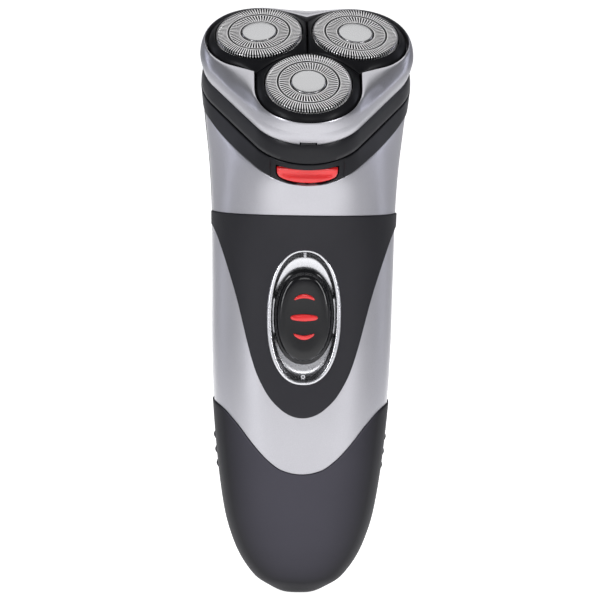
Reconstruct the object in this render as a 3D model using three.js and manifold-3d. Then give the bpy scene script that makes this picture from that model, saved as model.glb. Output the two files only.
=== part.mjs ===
// Rotary electric shaver with three floating cutting heads, a flip-open head unit
// and a geared drive.  Millimetres, +Z up along the handle, the front faces -Y,
// and the small flat end of the handle stands on z = 0 once the parts are lifted by -TIP.
import * as THREE from 'three';
import { mergeVertices } from 'three/addons/utils/BufferGeometryUtils.js';
import Module from 'manifold-3d';

const wasm = await Module();
wasm.setup();

// ---- driving dimensions -------------------------------------------------

const DEG = Math.PI / 180;
const GAP = 0.3;                 // fit clearance between neighbouring mouldings
const Y_CENTRE = 5.2;            // shifts the object so its box is centred front to back
const TIP = -0.95;               // flat end, below the level that heights are measured from

const HEAD_TILT = 30 * DEG;      // lean of the shaving plane towards the front
const HEAD_Y = -12;
const HEAD_Z = 158;

const HEAD_RADIUS = 16;          // centre of the head unit to the centre of a guard
const OUTWARD_TILT = 5 * DEG;    // each guard leans away from the centre
const GUARD_RADIUS = 12.3;
const PETAL_HALF_WIDTH = 15;
const PETAL_GAP = 0.25;

const SPINDLE_RADIUS = 15;       // centre of the head unit to a drive spindle
const POST_RADIUS = 14;          // screw posts stand between the gears
const GEAR_MODULE = 0.75;
const PINION_TEETH = 10;
const GEAR_TEETH = 30;

const PARTING_LEVEL = -17.15;    // plane where the head unit lifts off the handle
const FRAME_LEVEL = -11;         // lower edge of the silver head frame
const HINGE_V = 28.9;            // hinge axis behind the neck

const SKIN_PROUD = 0.45;         // dark skins stand this far above the silver shell
const SHELL_INNER = 2.6;         // depth of the shell's inner wall below the skins
const SIDE_PARTING = 104 * DEG;  // front and rear shells meet just behind the sides

const SWITCH_Z = 81.8;
const SWITCH_Y = -20.6;

// Sections of the handle, from the flat end to the parting plane:
// height, depth position, lean, half width, front depth, rear depth, head-shape blend.
const STATIONS = [
  [TIP, 0.3, 0, 4.2, 3.2, 3.2, 0],
  [-0.5, 0.3, 0, 5.6, 4.4, 4.4, 0],
  [0.5, 0.3, 0, 7.6, 6.0, 6.0, 0],
  [3.0, 0.3, 0, 11.7, 9.4, 9.4, 0],
  [6.0, 0.2, 0, 14.4, 11.6, 11.7, 0],
  [10.0, 0.2, 0, 17.0, 13.6, 13.8, 0],
  [15.0, 0.1, 0, 19.2, 15.3, 15.6, 0],
  [22.0, 0.0, 0, 21.3, 16.9, 17.3, 0],
  [32.0, 0.0, 0, 23.0, 18.3, 18.8, 0],
  [44.0, 0.0, 0, 24.4, 19.3, 20.0, 0],
  [57.0, 0.0, 0, 25.5, 20.0, 20.9, 0],
  [70.0, 0.0, 0, 26.1, 20.4, 21.8, 0],
  [83.0, 0.0, 0, 26.3, 20.6, 23.4, 0],
  [96.0, 0.0, 1, 26.5, 21.0, 25.4, 0],
  [108.0, -0.4, 7, 26.8, 22.4, 27.6, 0.1],
  [120.5, -1.2, 15, 27.6, 25.0, 28.6, 0.35],
  [132.0, -2.2, 22.5, 28.9, 29.2, 28.4, 0.7],
  [143.0, -3.35, 30, 30.1, 32.6, 26.0, 1],
];

// Heights of the dark skins' edges against the distance from the centre line.
const PANEL_EDGE = [
  [0, 52.2], [5.9, 54.3], [9.4, 57.6], [11.5, 61], [13.8, 65.5], [16.4, 74.5],
  [18.9, 85], [21.4, 93], [24.3, 101.5], [26.2, 106], [40, 109],
];
const GRIP_EDGE = [
  [0, 35.8], [3, 36.1], [6.7, 37.3], [10.5, 40.3], [14.4, 44.5], [18.2, 49.3],
  [22.4, 53.6], [25, 55], [40, 55.2],
];
const COLLAR_EDGE = [
  [0, 120.5], [5, 120.95], [9.7, 122.4], [13.7, 124.4], [16.9, 126.8], [19.5, 128.7],
  [21.9, 130.65], [24.2, 132.6], [26.6, 135], [28.7, 137.9], [40, 140],
];
const PANEL_TOP = [109.8, 1.4];

// ---- colours ------------------------------------------------------------

const COLOURS = {
  silver: [0xb4b4be, 0.32, 0.75],
  black: [0x2e2d31, 0.55, 0],
  rubber: [0x2a292e, 0.7, 0],
  chrome: [0xd8d8dc, 0.12, 1],
  steel: [0xa9a9ad, 0.3, 1],
  red: [0xe02a2c, 0.3, 0],
  white: [0xdcdcd6, 0.5, 0],
  board: [0x1f6b3a, 0.5, 0],
  cell: [0x3f7fb0, 0.35, 0.1],
  brass: [0xc9a44c, 0.3, 1],
  grey: [0x6a6a70, 0.6, 0],
};

function mesh(name, geometry, colour) {
  const [color, roughness, metalness] = COLOURS[colour];
  const item = new THREE.Mesh(
    geometry,
    new THREE.MeshStandardMaterial({ color, roughness, metalness }),
  );
  item.name = name;
  return item;
}

// ---- solid helpers ------------------------------------------------------

function toSolid(geometry) {
  const bare = geometry.clone();
  bare.deleteAttribute('normal');
  bare.deleteAttribute('uv');
  const merged = mergeVertices(bare, 1e-4);
  const solid = new wasm.Manifold(new wasm.Mesh({
    numProp: 3,
    vertProperties: new Float32Array(merged.attributes.position.array),
    triVerts: new Uint32Array(merged.index.array),
  }));
  return solid;
}

function toGeometry(solid) {
  const data = solid.getMesh();
  const geometry = new THREE.BufferGeometry();
  geometry.setAttribute('position', new THREE.BufferAttribute(data.vertProperties, 3));
  geometry.setIndex(new THREE.BufferAttribute(data.triVerts, 1));
  geometry.computeVertexNormals();
  return geometry;
}

function cut(base, ...tools) {
  let solid = toSolid(base);
  for (const tool of tools) solid = solid.subtract(toSolid(tool));
  return toGeometry(solid);
}

function join(...items) {
  let solid = toSolid(items[0]);
  for (const item of items.slice(1)) solid = solid.add(toSolid(item));
  return toGeometry(solid);
}

function common(a, b) {
  return toGeometry(toSolid(a).intersect(toSolid(b)));
}

function cloneAt(geometry, x, y, z, turnZ = 0) {
  const copy = geometry.clone();
  copy.rotateZ(turnZ);
  copy.translate(x, y, z);
  return copy;
}

function box(x0, x1, y0, y1, z0, z1) {
  const geometry = new THREE.BoxGeometry(x1 - x0, y1 - y0, z1 - z0);
  geometry.translate((x0 + x1) / 2, (y0 + y1) / 2, (z0 + z1) / 2);
  return geometry;
}

// Round bar along z.
function bar(radius, z0, z1, sides = 20) {
  const geometry = new THREE.CylinderGeometry(radius, radius, z1 - z0, sides);
  geometry.rotateX(Math.PI / 2);
  geometry.translate(0, 0, (z0 + z1) / 2);
  return geometry;
}

// Turned shape about z from [radius, height] points running up the outside.
function turned(points, sides = 28) {
  const closed = points[0][0] > 0 ? [...points, points[0]] : points;
  const profile = closed.map(([r, z]) => new THREE.Vector2(r, z));
  const geometry = new THREE.LatheGeometry(profile, sides);
  geometry.rotateX(Math.PI / 2);
  return toSolid(geometry).volume() < 0 ? flipped(geometry) : geometry;
}

function flipped(geometry) {
  const bare = geometry.clone();
  bare.deleteAttribute('normal');
  bare.deleteAttribute('uv');
  const copy = mergeVertices(bare, 1e-4);
  const index = copy.index.array;
  for (let i = 0; i < index.length; i += 3) {
    [index[i], index[i + 1]] = [index[i + 1], index[i]];
  }
  return copy;
}

// Upright prism from an outline of [x, y] points, with optional holes.
function prism(outline, z0, z1, holes = []) {
  const shape = new THREE.Shape(outline.map(([x, y]) => new THREE.Vector2(x, y)));
  for (const hole of holes) {
    shape.holes.push(new THREE.Path(hole.map(([x, y]) => new THREE.Vector2(x, y))));
  }
  const geometry = new THREE.ExtrudeGeometry(shape, { depth: z1 - z0, bevelEnabled: false });
  geometry.translate(0, 0, z0);
  return geometry;
}

// Closed body from rings of points with the same count; ends are closed by fans.
function loft(rings) {
  const count = rings[0].length;
  const positions = rings.flat(2);
  const index = [];
  for (let r = 0; r < rings.length - 1; r++) {
    for (let i = 0; i < count; i++) {
      const a = r * count + i;
      const b = r * count + (i + 1) % count;
      index.push(a, b, a + count, b, b + count, a + count);
    }
  }
  for (const [ring, first] of [[0, true], [rings.length - 1, false]]) {
    const centre = [0, 1, 2].map((k) => rings[ring].reduce((sum, p) => sum + p[k], 0) / count);
    const hub = positions.length / 3;
    positions.push(...centre);
    for (let i = 0; i < count; i++) {
      const a = ring * count + i;
      const b = ring * count + (i + 1) % count;
      if (first) index.push(a, hub, b);
      else index.push(a, b, hub);
    }
  }
  return bodyFrom(positions, index);
}

function bodyFrom(positions, index) {
  const geometry = new THREE.BufferGeometry();
  geometry.setAttribute('position', new THREE.Float32BufferAttribute(positions, 3));
  geometry.setIndex(index);
  return toSolid(geometry).volume() < 0 ? flipped(geometry) : geometry;
}

function oval(a, b, power, count) {
  const points = [];
  for (let i = 0; i < count; i++) {
    const t = (i / count) * 2 * Math.PI;
    const c = Math.cos(t);
    const s = Math.sin(t);
    points.push([
      a * Math.sign(c) * Math.abs(c) ** (2 / power),
      b * Math.sign(s) * Math.abs(s) ** (2 / power),
    ]);
  }
  return points;
}

// ---- body surface -------------------------------------------------------

// Catmull-Rom blend of the stations at a fractional position along the handle.
function stationAt(s) {
  const last = STATIONS.length - 1;
  const i = Math.min(Math.max(Math.floor(s), 0), last - 1);
  const t = s - i;
  const [p0, p1, p2, p3] = [i - 1, i, i + 1, i + 2].map(
    (k) => STATIONS[Math.min(Math.max(k, 0), last)],
  );
  return p1.map((_, k) => 0.5 * (
    2 * p1[k] + (p2[k] - p0[k]) * t
    + (2 * p0[k] - 5 * p1[k] + 4 * p2[k] - p3[k]) * t * t
    + (3 * p1[k] - p0[k] - 3 * p2[k] + p3[k]) * t * t * t
  ));
}

// Distance from the centre to a rounded triangle, given as a hull of corner circles.
function roundedTriangle(corners, turn) {
  const dx = Math.sin(turn);
  const dy = -Math.cos(turn);
  let best = Infinity;
  for (let k = 0; k < 240; k++) {
    const a = (k / 240) * 2 * Math.PI;
    const nx = Math.cos(a);
    const ny = Math.sin(a);
    const facing = nx * dx + ny * dy;
    if (facing > 0.2) {
      const reach = Math.max(...corners.map(([x, y, r]) => x * nx + y * ny + r));
      best = Math.min(best, reach / facing);
    }
  }
  return best;
}

const HEAD_CORNERS = [[0, -0.4, 0.6], [0.4, 0.2, 0.6], [-0.4, 0.2, 0.6]];
const SECTION_POWER = 2.3;
const sectionCache = new Map();

// Unit section at a turn from the front: an oval and the head's rounded triangle.
function unitSection(turn) {
  const key = turn.toFixed(5);
  if (!sectionCache.has(key)) {
    const s = Math.sin(turn);
    const c = -Math.cos(turn);
    const scale = (Math.abs(s) ** SECTION_POWER + Math.abs(c) ** SECTION_POWER)
      ** (-1 / SECTION_POWER);
    const reach = roundedTriangle(HEAD_CORNERS, turn);
    const stretch = c > 0 ? 1 / 0.8 : 1;
    sectionCache.set(key, [s * scale, c * scale, s * reach, c * reach * stretch]);
  }
  return sectionCache.get(key);
}

function surfacePoint(turn, s) {
  const [z, y, lean, width, front, rear, blend] = stationAt(s);
  const [ox, oy, hx, hy] = unitSection(turn);
  const u = width * (ox + (hx - ox) * blend);
  const v0 = oy + (hy - oy) * blend;
  const v = v0 * (v0 < 0 ? front : rear);
  const a = lean * DEG;
  return new THREE.Vector3(u, y + v * Math.cos(a), z + v * Math.sin(a));
}

// Point a given depth below the surface, measured square to it.
function bodyPoint(turn, s, depth) {
  const last = STATIONS.length - 1;
  const p = surfacePoint(turn, s);
  const along = surfacePoint(turn, Math.min(s + 0.05, last))
    .sub(surfacePoint(turn, Math.max(s - 0.05, 0)));
  const around = surfacePoint(turn + 0.02, s).sub(surfacePoint(turn - 0.02, s));
  const normal = around.cross(along).normalize();
  return p.addScaledVector(normal, -depth);
}

function curveValue(curve, x) {
  const i = Math.min(curve.findIndex(([cx]) => cx > x), curve.length - 1);
  const [x0, y0] = curve[Math.max(i - 1, 0)];
  const [x1, y1] = curve[Math.max(i, 1)];
  return y0 + (y1 - y0) * (x - x0) / (x1 - x0);
}

// Position along the handle where the surface at this turn meets a height rule.
function solveHeight(turn, rule) {
  let low = 0;
  let high = STATIONS.length - 1;
  for (let k = 0; k < 40; k++) {
    const mid = (low + high) / 2;
    const p = surfacePoint(turn, mid);
    if (p.z < rule(p)) low = mid;
    else high = mid;
  }
  return (low + high) / 2;
}

const topOfPanel = (p) => PANEL_TOP[0] + PANEL_TOP[1] * Math.max(0, -p.y / 22);
const footOfPanel = (p) => curveValue(PANEL_EDGE, Math.abs(p.x));
const topOfGrip = (p) => (p.y < 0 ? curveValue(GRIP_EDGE, Math.abs(p.x)) : 55.2);

// The collar dips at the front and rises in a straight slope round the back.
function footOfCollar(p) {
  const front = curveValue(COLLAR_EDGE, Math.abs(p.x));
  const back = 139.4 + 0.5 * p.y;
  const t = Math.min(Math.max((p.y + 6) / 6, 0), 1);
  return front + (back - front) * t;
}

function spread(from, to, steps) {
  return Array.from({ length: steps + 1 }, (_, i) => from + (to - from) * i / steps);
}

// Shell patch of the body surface between two edge rules and two depths.
function patch({ turns, foot, top, rows, outer, inner, ring = false, grow = 0 }) {
  const columns = turns.map((turn) => {
    const s0 = Math.max(foot(turn) - grow, 0);
    const s1 = Math.min(top(turn) + grow, STATIONS.length - 1);
    return spread(s0, s1, rows).map((s) => [
      bodyPoint(turn, s, outer).toArray(),
      bodyPoint(turn, s, inner).toArray(),
    ]);
  });
  const positions = [];
  for (const column of columns) {
    for (const [a, b] of column) positions.push(...a, ...b);
  }
  const stride = 2 * (rows + 1);
  const index = [];
  const quad = (a, b, c, d) => index.push(a, b, c, a, c, d);
  const wraps = ring ? columns.length : columns.length - 1;
  for (let i = 0; i < wraps; i++) {
    const here = i * stride;
    const next = ((i + 1) % columns.length) * stride;
    for (let j = 0; j < rows; j++) {
      const k = 2 * j;
      quad(here + k, next + k, next + k + 2, here + k + 2);
      quad(here + k + 1, here + k + 3, next + k + 3, next + k + 1);
    }
    quad(here, here + 1, next + 1, next);
    const k = 2 * rows;
    quad(here + k, next + k, next + k + 1, here + k + 1);
  }
  if (!ring) {
    const end = (columns.length - 1) * stride;
    for (let j = 0; j < rows; j++) {
      const k = 2 * j;
      quad(k, k + 2, k + 3, k + 1);
      quad(end + k, end + k + 1, end + k + 3, end + k + 2);
    }
  }
  return bodyFrom(positions, index);
}

const TOP_S = STATIONS.length - 1;
const atHeight = (rule) => (turn) => solveHeight(turn, rule);
const constant = (value) => () => value;

// ---- head frame ---------------------------------------------------------

// Outline of the head unit at a size: a rounded triangle pointing forwards.
function headOutline(width, front, rear, count = 36) {
  return spread(0, 2 * Math.PI, count).slice(0, -1).map((turn) => {
    const [, , hx, hy] = unitSection(turn);
    return [hx * width, hy * (hy < 0 ? front : rear)];
  });
}

function headLoft(levels, count = 32) {
  return loft(levels.map(([w, width, front, rear]) => headOutline(width, front, rear, count)
    .map(([x, y]) => [x, y, w])));
}

function headGroup(name) {
  const group = new THREE.Group();
  group.name = name;
  group.position.set(0, HEAD_Y, HEAD_Z);
  group.rotation.x = HEAD_TILT;
  return group;
}

// Same placement for geometry that is combined with handle pieces.
function fromHead(geometry) {
  const copy = geometry.clone();
  copy.rotateX(HEAD_TILT);
  copy.translate(0, HEAD_Y, HEAD_Z);
  return copy;
}

const HEAD_TURNS = [0, 120 * DEG, -120 * DEG];

// Places shapes made for the front head under all three heads.
function threeTimes(geometry) {
  return HEAD_TURNS.map((turn) => cloneAt(geometry, 0, 0, 0, turn));
}

// ---- handle mouldings ---------------------------------------------------

const FRONT_TURNS = spread(-SIDE_PARTING, SIDE_PARTING, 22);
const REAR_TURNS = spread(SIDE_PARTING + 0.4 * DEG, 2 * Math.PI - SIDE_PARTING - 0.4 * DEG, 16);
const PANEL_TURNS = spread(-88 * DEG, 88 * DEG, 22);

function switchHole(grow) {
  const hole = prism(oval(10.65 + grow, 19.7 + grow, 2.3, 26), -12, 12);
  hole.rotateX(Math.PI / 2);
  hole.translate(0, SWITCH_Y, SWITCH_Z);
  return hole;
}

function panelPatch(outer, inner, grow, turns = PANEL_TURNS) {
  return patch({
    turns,
    foot: atHeight(footOfPanel),
    top: atHeight(topOfPanel),
    rows: 6,
    outer,
    inner,
    grow,
  });
}

function gripPatch(outer, inner, grow, turns = FRONT_TURNS) {
  return patch({
    turns, foot: constant(0), top: atHeight(topOfGrip), rows: 9, outer, inner, grow,
  });
}

const RECESS_DEPTH = 1.2;
const SKIN_INNER = 0.9;

function frontShell() {
  const collarGap = (p) => footOfCollar(p) - GAP;
  const blank = patch({
    turns: FRONT_TURNS,
    foot: constant(1.0),
    top: atHeight(collarGap),
    rows: 11,
    outer: SKIN_PROUD,
    inner: SHELL_INNER,
  });
  const wide = spread(-89 * DEG, 89 * DEG, 22);
  const around = spread(-SIDE_PARTING - 4 * DEG, SIDE_PARTING + 4 * DEG, 22);
  return cut(
    blank,
    panelPatch(-1, RECESS_DEPTH, 0.025, wide),
    gripPatch(-1, RECESS_DEPTH, 0.025, around),
    switchHole(GAP),
  );
}

function rearShell() {
  const collarGap = (p) => footOfCollar(p) - GAP;
  const blank = patch({
    turns: REAR_TURNS,
    foot: constant(0.02),
    top: atHeight(collarGap),
    rows: 13,
    outer: 0,
    inner: SHELL_INNER,
  });
  return cut(blank, endPlug(0.15, TIP - 1, 2.8));
}

// Upright plug with the end plate's outline, larger all round by a margin.
function endPlug(grow, z0, z1) {
  const plug = prism(oval(3.7 + grow, 2.7 + grow, 2.2, 24), z0, z1);
  plug.translate(0, 0.3, 0);
  return plug;
}

const BUTTON_TOP = -19.35;
const BUTTON_BOTTOM = -23.6;
const BUTTON_HALF = 8.7;
const BUTTON_SHOULDER = 1.6;     // straight part of its ends, below its top edge

// Boat-shaped outline of the release button, in x and height of the head frame.
function buttonOutline(grow) {
  const half = BUTTON_HALF + grow;
  const shoulder = BUTTON_TOP - BUTTON_SHOULDER;
  const points = [[-half, BUTTON_TOP + grow], [half, BUTTON_TOP + grow]];
  for (const t of spread(0, 1, 10)) {
    const sag = Math.sqrt(Math.max(0, 1 - (1 - 2 * t) ** 2)) ** 0.8;
    points.push([half * (1 - 2 * t), shoulder - (shoulder - BUTTON_BOTTOM) * sag - grow]);
  }
  return points.reverse();
}

function buttonPrism(grow, v0, v1) {
  const geometry = prism(buttonOutline(grow), -v1, -v0);
  geometry.rotateX(Math.PI / 2);
  return geometry;
}

function collar() {
  const ring = patch({
    turns: spread(0, 2 * Math.PI, 32).slice(0, -1),
    foot: atHeight(footOfCollar),
    top: constant(TOP_S),
    rows: 3,
    outer: 0,
    inner: SHELL_INNER,
    ring: true,
  });
  const ear = bar(2.3, -1.5, 1.5, 16);
  ear.rotateY(Math.PI / 2);
  const bore = bar(1.4, -15, 15, 14);
  bore.rotateY(Math.PI / 2);
  bore.translate(0, HINGE_V, PARTING_LEVEL);
  const above = box(-50, 50, -50, 50, PARTING_LEVEL - 0.15, PARTING_LEVEL + 30);
  let body = cut(ring, fromHead(above));
  for (const x of [-7.7, 7.7]) {
    const root = box(x - 1.5, x + 1.5, 23.6, HINGE_V, PARTING_LEVEL - 2.3, PARTING_LEVEL - 0.4);
    const lug = join(cloneAt(ear, x, HINGE_V, PARTING_LEVEL), root);
    body = join(body, fromHead(lug));
  }
  return cut(body, fromHead(bore), fromHead(buttonPrism(GAP, -40, -24)));
}

function endPlate() {
  const flange = prism(oval(6.0, 4.2, 2.2, 24), 3.3, 4.4);
  flange.translate(0, 0.3, 0);
  const solid = join(endPlug(0, TIP, 2.4), endPlug(-0.1, 2.2, 3.5), flange);
  return cut(solid, cloneAt(bar(1.7, -2, 6, 18), 0, 0.3, 0));
}

function inletSocket() {
  const tube = turned([[0, 13], [1.7, 13], [1.7, 4.8], [2.6, 4.8], [2.6, 14], [0, 14]], 18);
  return cut(tube, bar(0.75, 12, 15, 12));
}

// ---- switch -------------------------------------------------------------

const BEND = 0.0105;             // front face falls away by this much per x squared

// Stack of ovals along -Y, bent to follow the rounded front face.
function ovalStack(levels, power, count = 26) {
  return loft(levels.map(([a, b, depth]) => oval(a, b, power, count)
    .map(([x, z]) => [x, SWITCH_Y + depth + BEND * x * x, SWITCH_Z + z])));
}

function switchBezel() {
  const outside = ovalStack([
    [10.65, 19.7, 4.6], [10.65, 19.7, 0.3], [10.1, 19.15, -0.45], [9.5, 18.55, -0.35],
  ], 2.3);
  const dish = ovalStack([[9.4, 18.4, -2], [9.0, 18.0, 0.2], [8.9, 17.9, 2.6]], 2.3);
  const slot = box(-2.9, 2.9, SWITCH_Y - 2, SWITCH_Y + 8, SWITCH_Z - 7.2, SWITCH_Z + 7.2);
  return cut(outside, dish, slot);
}

function switchSlider() {
  const knob = ovalStack([
    [8.5, 13.7, 2.3], [8.7, 13.9, 1.6], [8.4, 13.6, 0.5], [7.7, 12.7, 0.3],
    [7.3, 12.2, -0.9], [6.4, 11.2, -1.5], [3.4, 6.4, -1.9],
  ], 2.2);
  const stem = box(-2.4, 2.4, SWITCH_Y + 1.5, SWITCH_Y + 6.2, SWITCH_Z - 3.2, SWITCH_Z + 3.2);
  const pocket = box(-1.5, 1.5, SWITCH_Y + 4, SWITCH_Y + 7, SWITCH_Z - 1.6, SWITCH_Z + 1.6);
  return cut(join(knob, stem), pocket);
}

const MARK_HALF_THICKNESS = 0.75;
const MARK_HEIGHT = 0.5;

// Raised lens on the slider, bowed upwards or downwards in its middle.
function sliderMark(z, half, bow) {
  const edge = (t, side) => [
    half * t,
    bow * (1 - t * t) + side * MARK_HALF_THICKNESS * Math.sqrt(1 - 0.9 * t * t),
  ];
  const upper = spread(-1, 1, 10).map((t) => edge(t, 1));
  const lower = spread(1, -1, 10).map((t) => edge(t, -1));
  const geometry = prism([...upper, ...lower], 0, MARK_HEIGHT);
  geometry.rotateX(Math.PI / 2);
  geometry.translate(0, SWITCH_Y - 1.95, SWITCH_Z + z);
  return geometry;
}

// ---- inside the handle --------------------------------------------------

const MOTOR_TOP = -30.2;
const MOTOR_LENGTH = 21;

function chassis() {
  const tray = box(-13.4, 13.4, 8.6, 10, 18.5, 88);
  const ribs = [[18.5, 13.4], [71.5, 16.2], [86.4, 16.2]]
    .map(([z, half]) => box(-half, half, -6, 9, z, z + 1.6));
  const walls = [-16.2, 14.9].map((x) => box(x, x + 1.3, -6, 9, 71.5, 88));
  return join(tray, ...ribs, ...walls);
}

function battery() {
  return turned([
    [0, 0], [6.2, 0], [7.2, 0.6], [7.2, 47.6], [6.4, 48.2], [2.7, 48.2], [2.7, 49.2], [0, 49.2],
  ], 16);
}

function motorCan() {
  const round = turned([
    [0, -MOTOR_LENGTH], [11.9, -MOTOR_LENGTH], [11.9, -0.8], [11.3, 0], [3.2, 0], [3.2, 1.3],
    [1.3, 1.3], [1.3, -1], [0, -1],
  ], 28);
  return common(round, box(-12, 12, -8.4, 8.4, -40, 5));
}

function motorEndCap() {
  const cap = common(bar(11.4, -2.8, -0.2, 28), box(-12, 12, -8, 8, -4, 1));
  const tabs = [-6, 6].map((x) => box(x - 1.3, x + 1.3, -0.3, 0.3, -6.5, -2.4));
  return join(cap, ...tabs);
}

// Spur gear outline with slimmed teeth.
function gearOutline(teeth, slim) {
  const pitch = teeth * GEAR_MODULE / 2;
  const tip = pitch + GEAR_MODULE * 0.85;
  const root = pitch - GEAR_MODULE * 1.15;
  const step = 2 * Math.PI / teeth;
  const points = [];
  for (let i = 0; i < teeth; i++) {
    const a = i * step;
    for (const [r, t] of [[root, -0.34], [tip, -0.1], [tip, 0.1], [root, 0.34]]) {
      points.push([r * Math.sin(a + t * step * slim), -r * Math.cos(a + t * step * slim)]);
    }
  }
  return points;
}

const GEAR_TOP = -23;
const GEAR_DEPTH = 3;
const SPINDLE_TIP = -12.4;
const GEAR_PHASES = [0, 4 * DEG, -4 * DEG];   // keep each gear's teeth between the pinion's

// Gear with its long spindle, whose waisted tip drives a cutter.
function driveGear(phase) {
  const wheel = prism(gearOutline(GEAR_TEETH, 0.82), GEAR_TOP - GEAR_DEPTH, GEAR_TOP);
  wheel.rotateZ(phase);
  const spindle = turned([
    [0, -29.6], [1.3, -29.6], [1.3, GEAR_TOP - GEAR_DEPTH - 0.3], [2.6, GEAR_TOP - GEAR_DEPTH - 0.3],
    [2.6, -22.4], [1.7, -22.2], [1.7, -14.2], [1.2, -13.7], [1.6, -12.9], [1.2, SPINDLE_TIP],
    [0, SPINDLE_TIP],
  ], 10);
  return join(wheel, spindle);
}

function motorPinion() {
  const wheel = prism(gearOutline(PINION_TEETH, 0.86), GEAR_TOP - GEAR_DEPTH - 0.4, GEAR_TOP + 0.3);
  return join(wheel, bar(1, MOTOR_TOP - 0.8, GEAR_TOP + 0.6, 14));
}

const DECK_TOP = -19.4;

function driveDeck() {
  const plate = headLoft([
    [DECK_TOP - 1.6, 25.2, 25.6, 20.4], [DECK_TOP, 25.6, 26.0, 20.6],
  ]);
  const chimneys = threeTimes(cloneAt(bar(3.9, DECK_TOP - 1, -16.6, 14), 0, -SPINDLE_RADIUS, 0));
  const posts = threeTimes(cloneAt(bar(2, -27.6, DECK_TOP - 0.5, 10), 0, POST_RADIUS, 0));
  const bores = threeTimes(cloneAt(bar(2.1, -30, -10, 14), 0, -SPINDLE_RADIUS, 0));
  const holes = threeTimes(cloneAt(bar(0.9, -29, DECK_TOP - 3, 8), 0, POST_RADIUS, 0));
  const latchRoom = box(-6.2, 6.2, -40, -23.4, DECK_TOP - 3, DECK_TOP + 1);
  return cut(join(plate, ...chimneys, ...posts), ...bores, ...holes, latchRoom);
}

function gearPlate() {
  const corners = headOutline(19.6, 20.4, 17.6, 24);
  const plate = prism(corners, -29, -27.9);
  const pads = threeTimes(cloneAt(bar(2.4, -30, -28.5, 10), 0, -SPINDLE_RADIUS, 0));
  const bores = threeTimes(cloneAt(bar(1.6, -32, -26, 10), 0, -SPINDLE_RADIUS, 0));
  const holes = threeTimes(cloneAt(bar(1.3, -32, -26, 8), 0, POST_RADIUS, 0));
  return cut(join(plate, ...pads), ...bores, ...holes, bar(3.8, -32, -26, 14));
}

function deckScrew() {
  const body = turned([
    [0, -31.8], [1.9, -31.8], [1.9, -29.3], [0.7, -29.3], [0.7, -24.5], [0, -24.5],
  ], 12);
  return cut(body, box(-2.2, 2.2, -0.25, 0.25, -33, -31.4));
}

// ---- release button -----------------------------------------------------

const BUTTON_BEND = 0.0165;      // its face follows the round of the collar
const LATCH_LEVEL = -20.9;       // underside of the bridge that the head's catch hooks under

function releaseButton() {
  const face = buttonOutline(0);
  const layer = (shrink, v) => face.map(([x, w]) => [
    x * (1 - shrink / BUTTON_HALF),
    w + (BUTTON_TOP - 2.4 - w) * shrink / 3,
    v + BUTTON_BEND * x * x,
  ]);
  const order = ([x, w, v]) => [x, v, w];
  const cap = loft([
    face.map(([x, w]) => [x, -30.3, w]),
    layer(0, -32.4).map(order),
    layer(0.35, -32.9).map(order),
  ]);
  const arms = [-5.4, 4.2].map((x) => box(x, x + 1.2, -30.6, -25.6, LATCH_LEVEL, LATCH_LEVEL + 1.2));
  const bridge = box(-5.4, 5.4, -27.1, -25.6, LATCH_LEVEL, LATCH_LEVEL + 1.2);
  return join(cap, ...arms, bridge);
}

// Coil along +Y, closed at both ends by flat faces.
function coil(radius, wire, turns, length) {
  class Path extends THREE.Curve {
    getPoint(t) {
      const a = t * turns * 2 * Math.PI;
      return new THREE.Vector3(radius * Math.cos(a), length * t, radius * Math.sin(a));
    }
  }
  const section = new THREE.Shape();
  for (let i = 0; i < 5; i++) {
    const a = (i / 5) * 2 * Math.PI;
    if (i === 0) section.moveTo(wire, 0);
    else section.lineTo(wire * Math.cos(a), wire * Math.sin(a));
  }
  return new THREE.ExtrudeGeometry(section, {
    steps: Math.round(turns * 7), bevelEnabled: false, extrudePath: new Path(),
  });
}

// ---- head unit ----------------------------------------------------------

// Outline of one petal: round outside, straight sides, two seams to the centre.
function petalOutline(offset, count = 8) {
  const half = PETAL_HALF_WIDTH + offset;
  const points = [[0, HEAD_RADIUS + offset * 1.155]];
  const seamY = HEAD_RADIUS + offset * 1.155 - half / Math.tan(60 * DEG);
  points.push([-half, seamY]);
  for (const a of spread(-90, 90, count)) {
    const turn = a * DEG;
    points.push([half * Math.sin(turn), -half * Math.cos(turn)]);
  }
  points.push([half, seamY]);
  return points;
}

function headFrame() {
  const outside = headLoft([
    [FRAME_LEVEL, 29.7, 31.5, 24.6], [-9, 30.0, 31.9, 24.9], [-6, 30.6, 32.4, 25.2],
    [-4.6, 30.5, 32.3, 25.0], [-3.4, 29.6, 31.4, 24.2], [0, 29.2, 31.0, 24],
  ]);
  const dome = turned([
    [0, -14], [40, -14], [40, -8], [31, -4.6], [25, -3.3], [17, -1.5], [0, -0.6],
  ], 36);
  const hollow = headLoft([
    [FRAME_LEVEL - 2, 27.6, 29.4, 22.5], [-7.4, 27.9, 29.6, 22.8],
  ]);
  const opening = prism(petalOutline(0.35), -20, 8);
  const notch = box(-2.5, 2.5, -36, -28, -12, FRAME_LEVEL + 1.2);
  const placed = threeTimes(cloneAt(opening, 0, -HEAD_RADIUS, 0));
  return cut(common(outside, dome), hollow, ...placed, notch);
}

function frameClip() {
  return box(-2.1, 2.1, -31.2, -29.4, FRAME_LEVEL, FRAME_LEVEL + 0.9);
}

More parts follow.
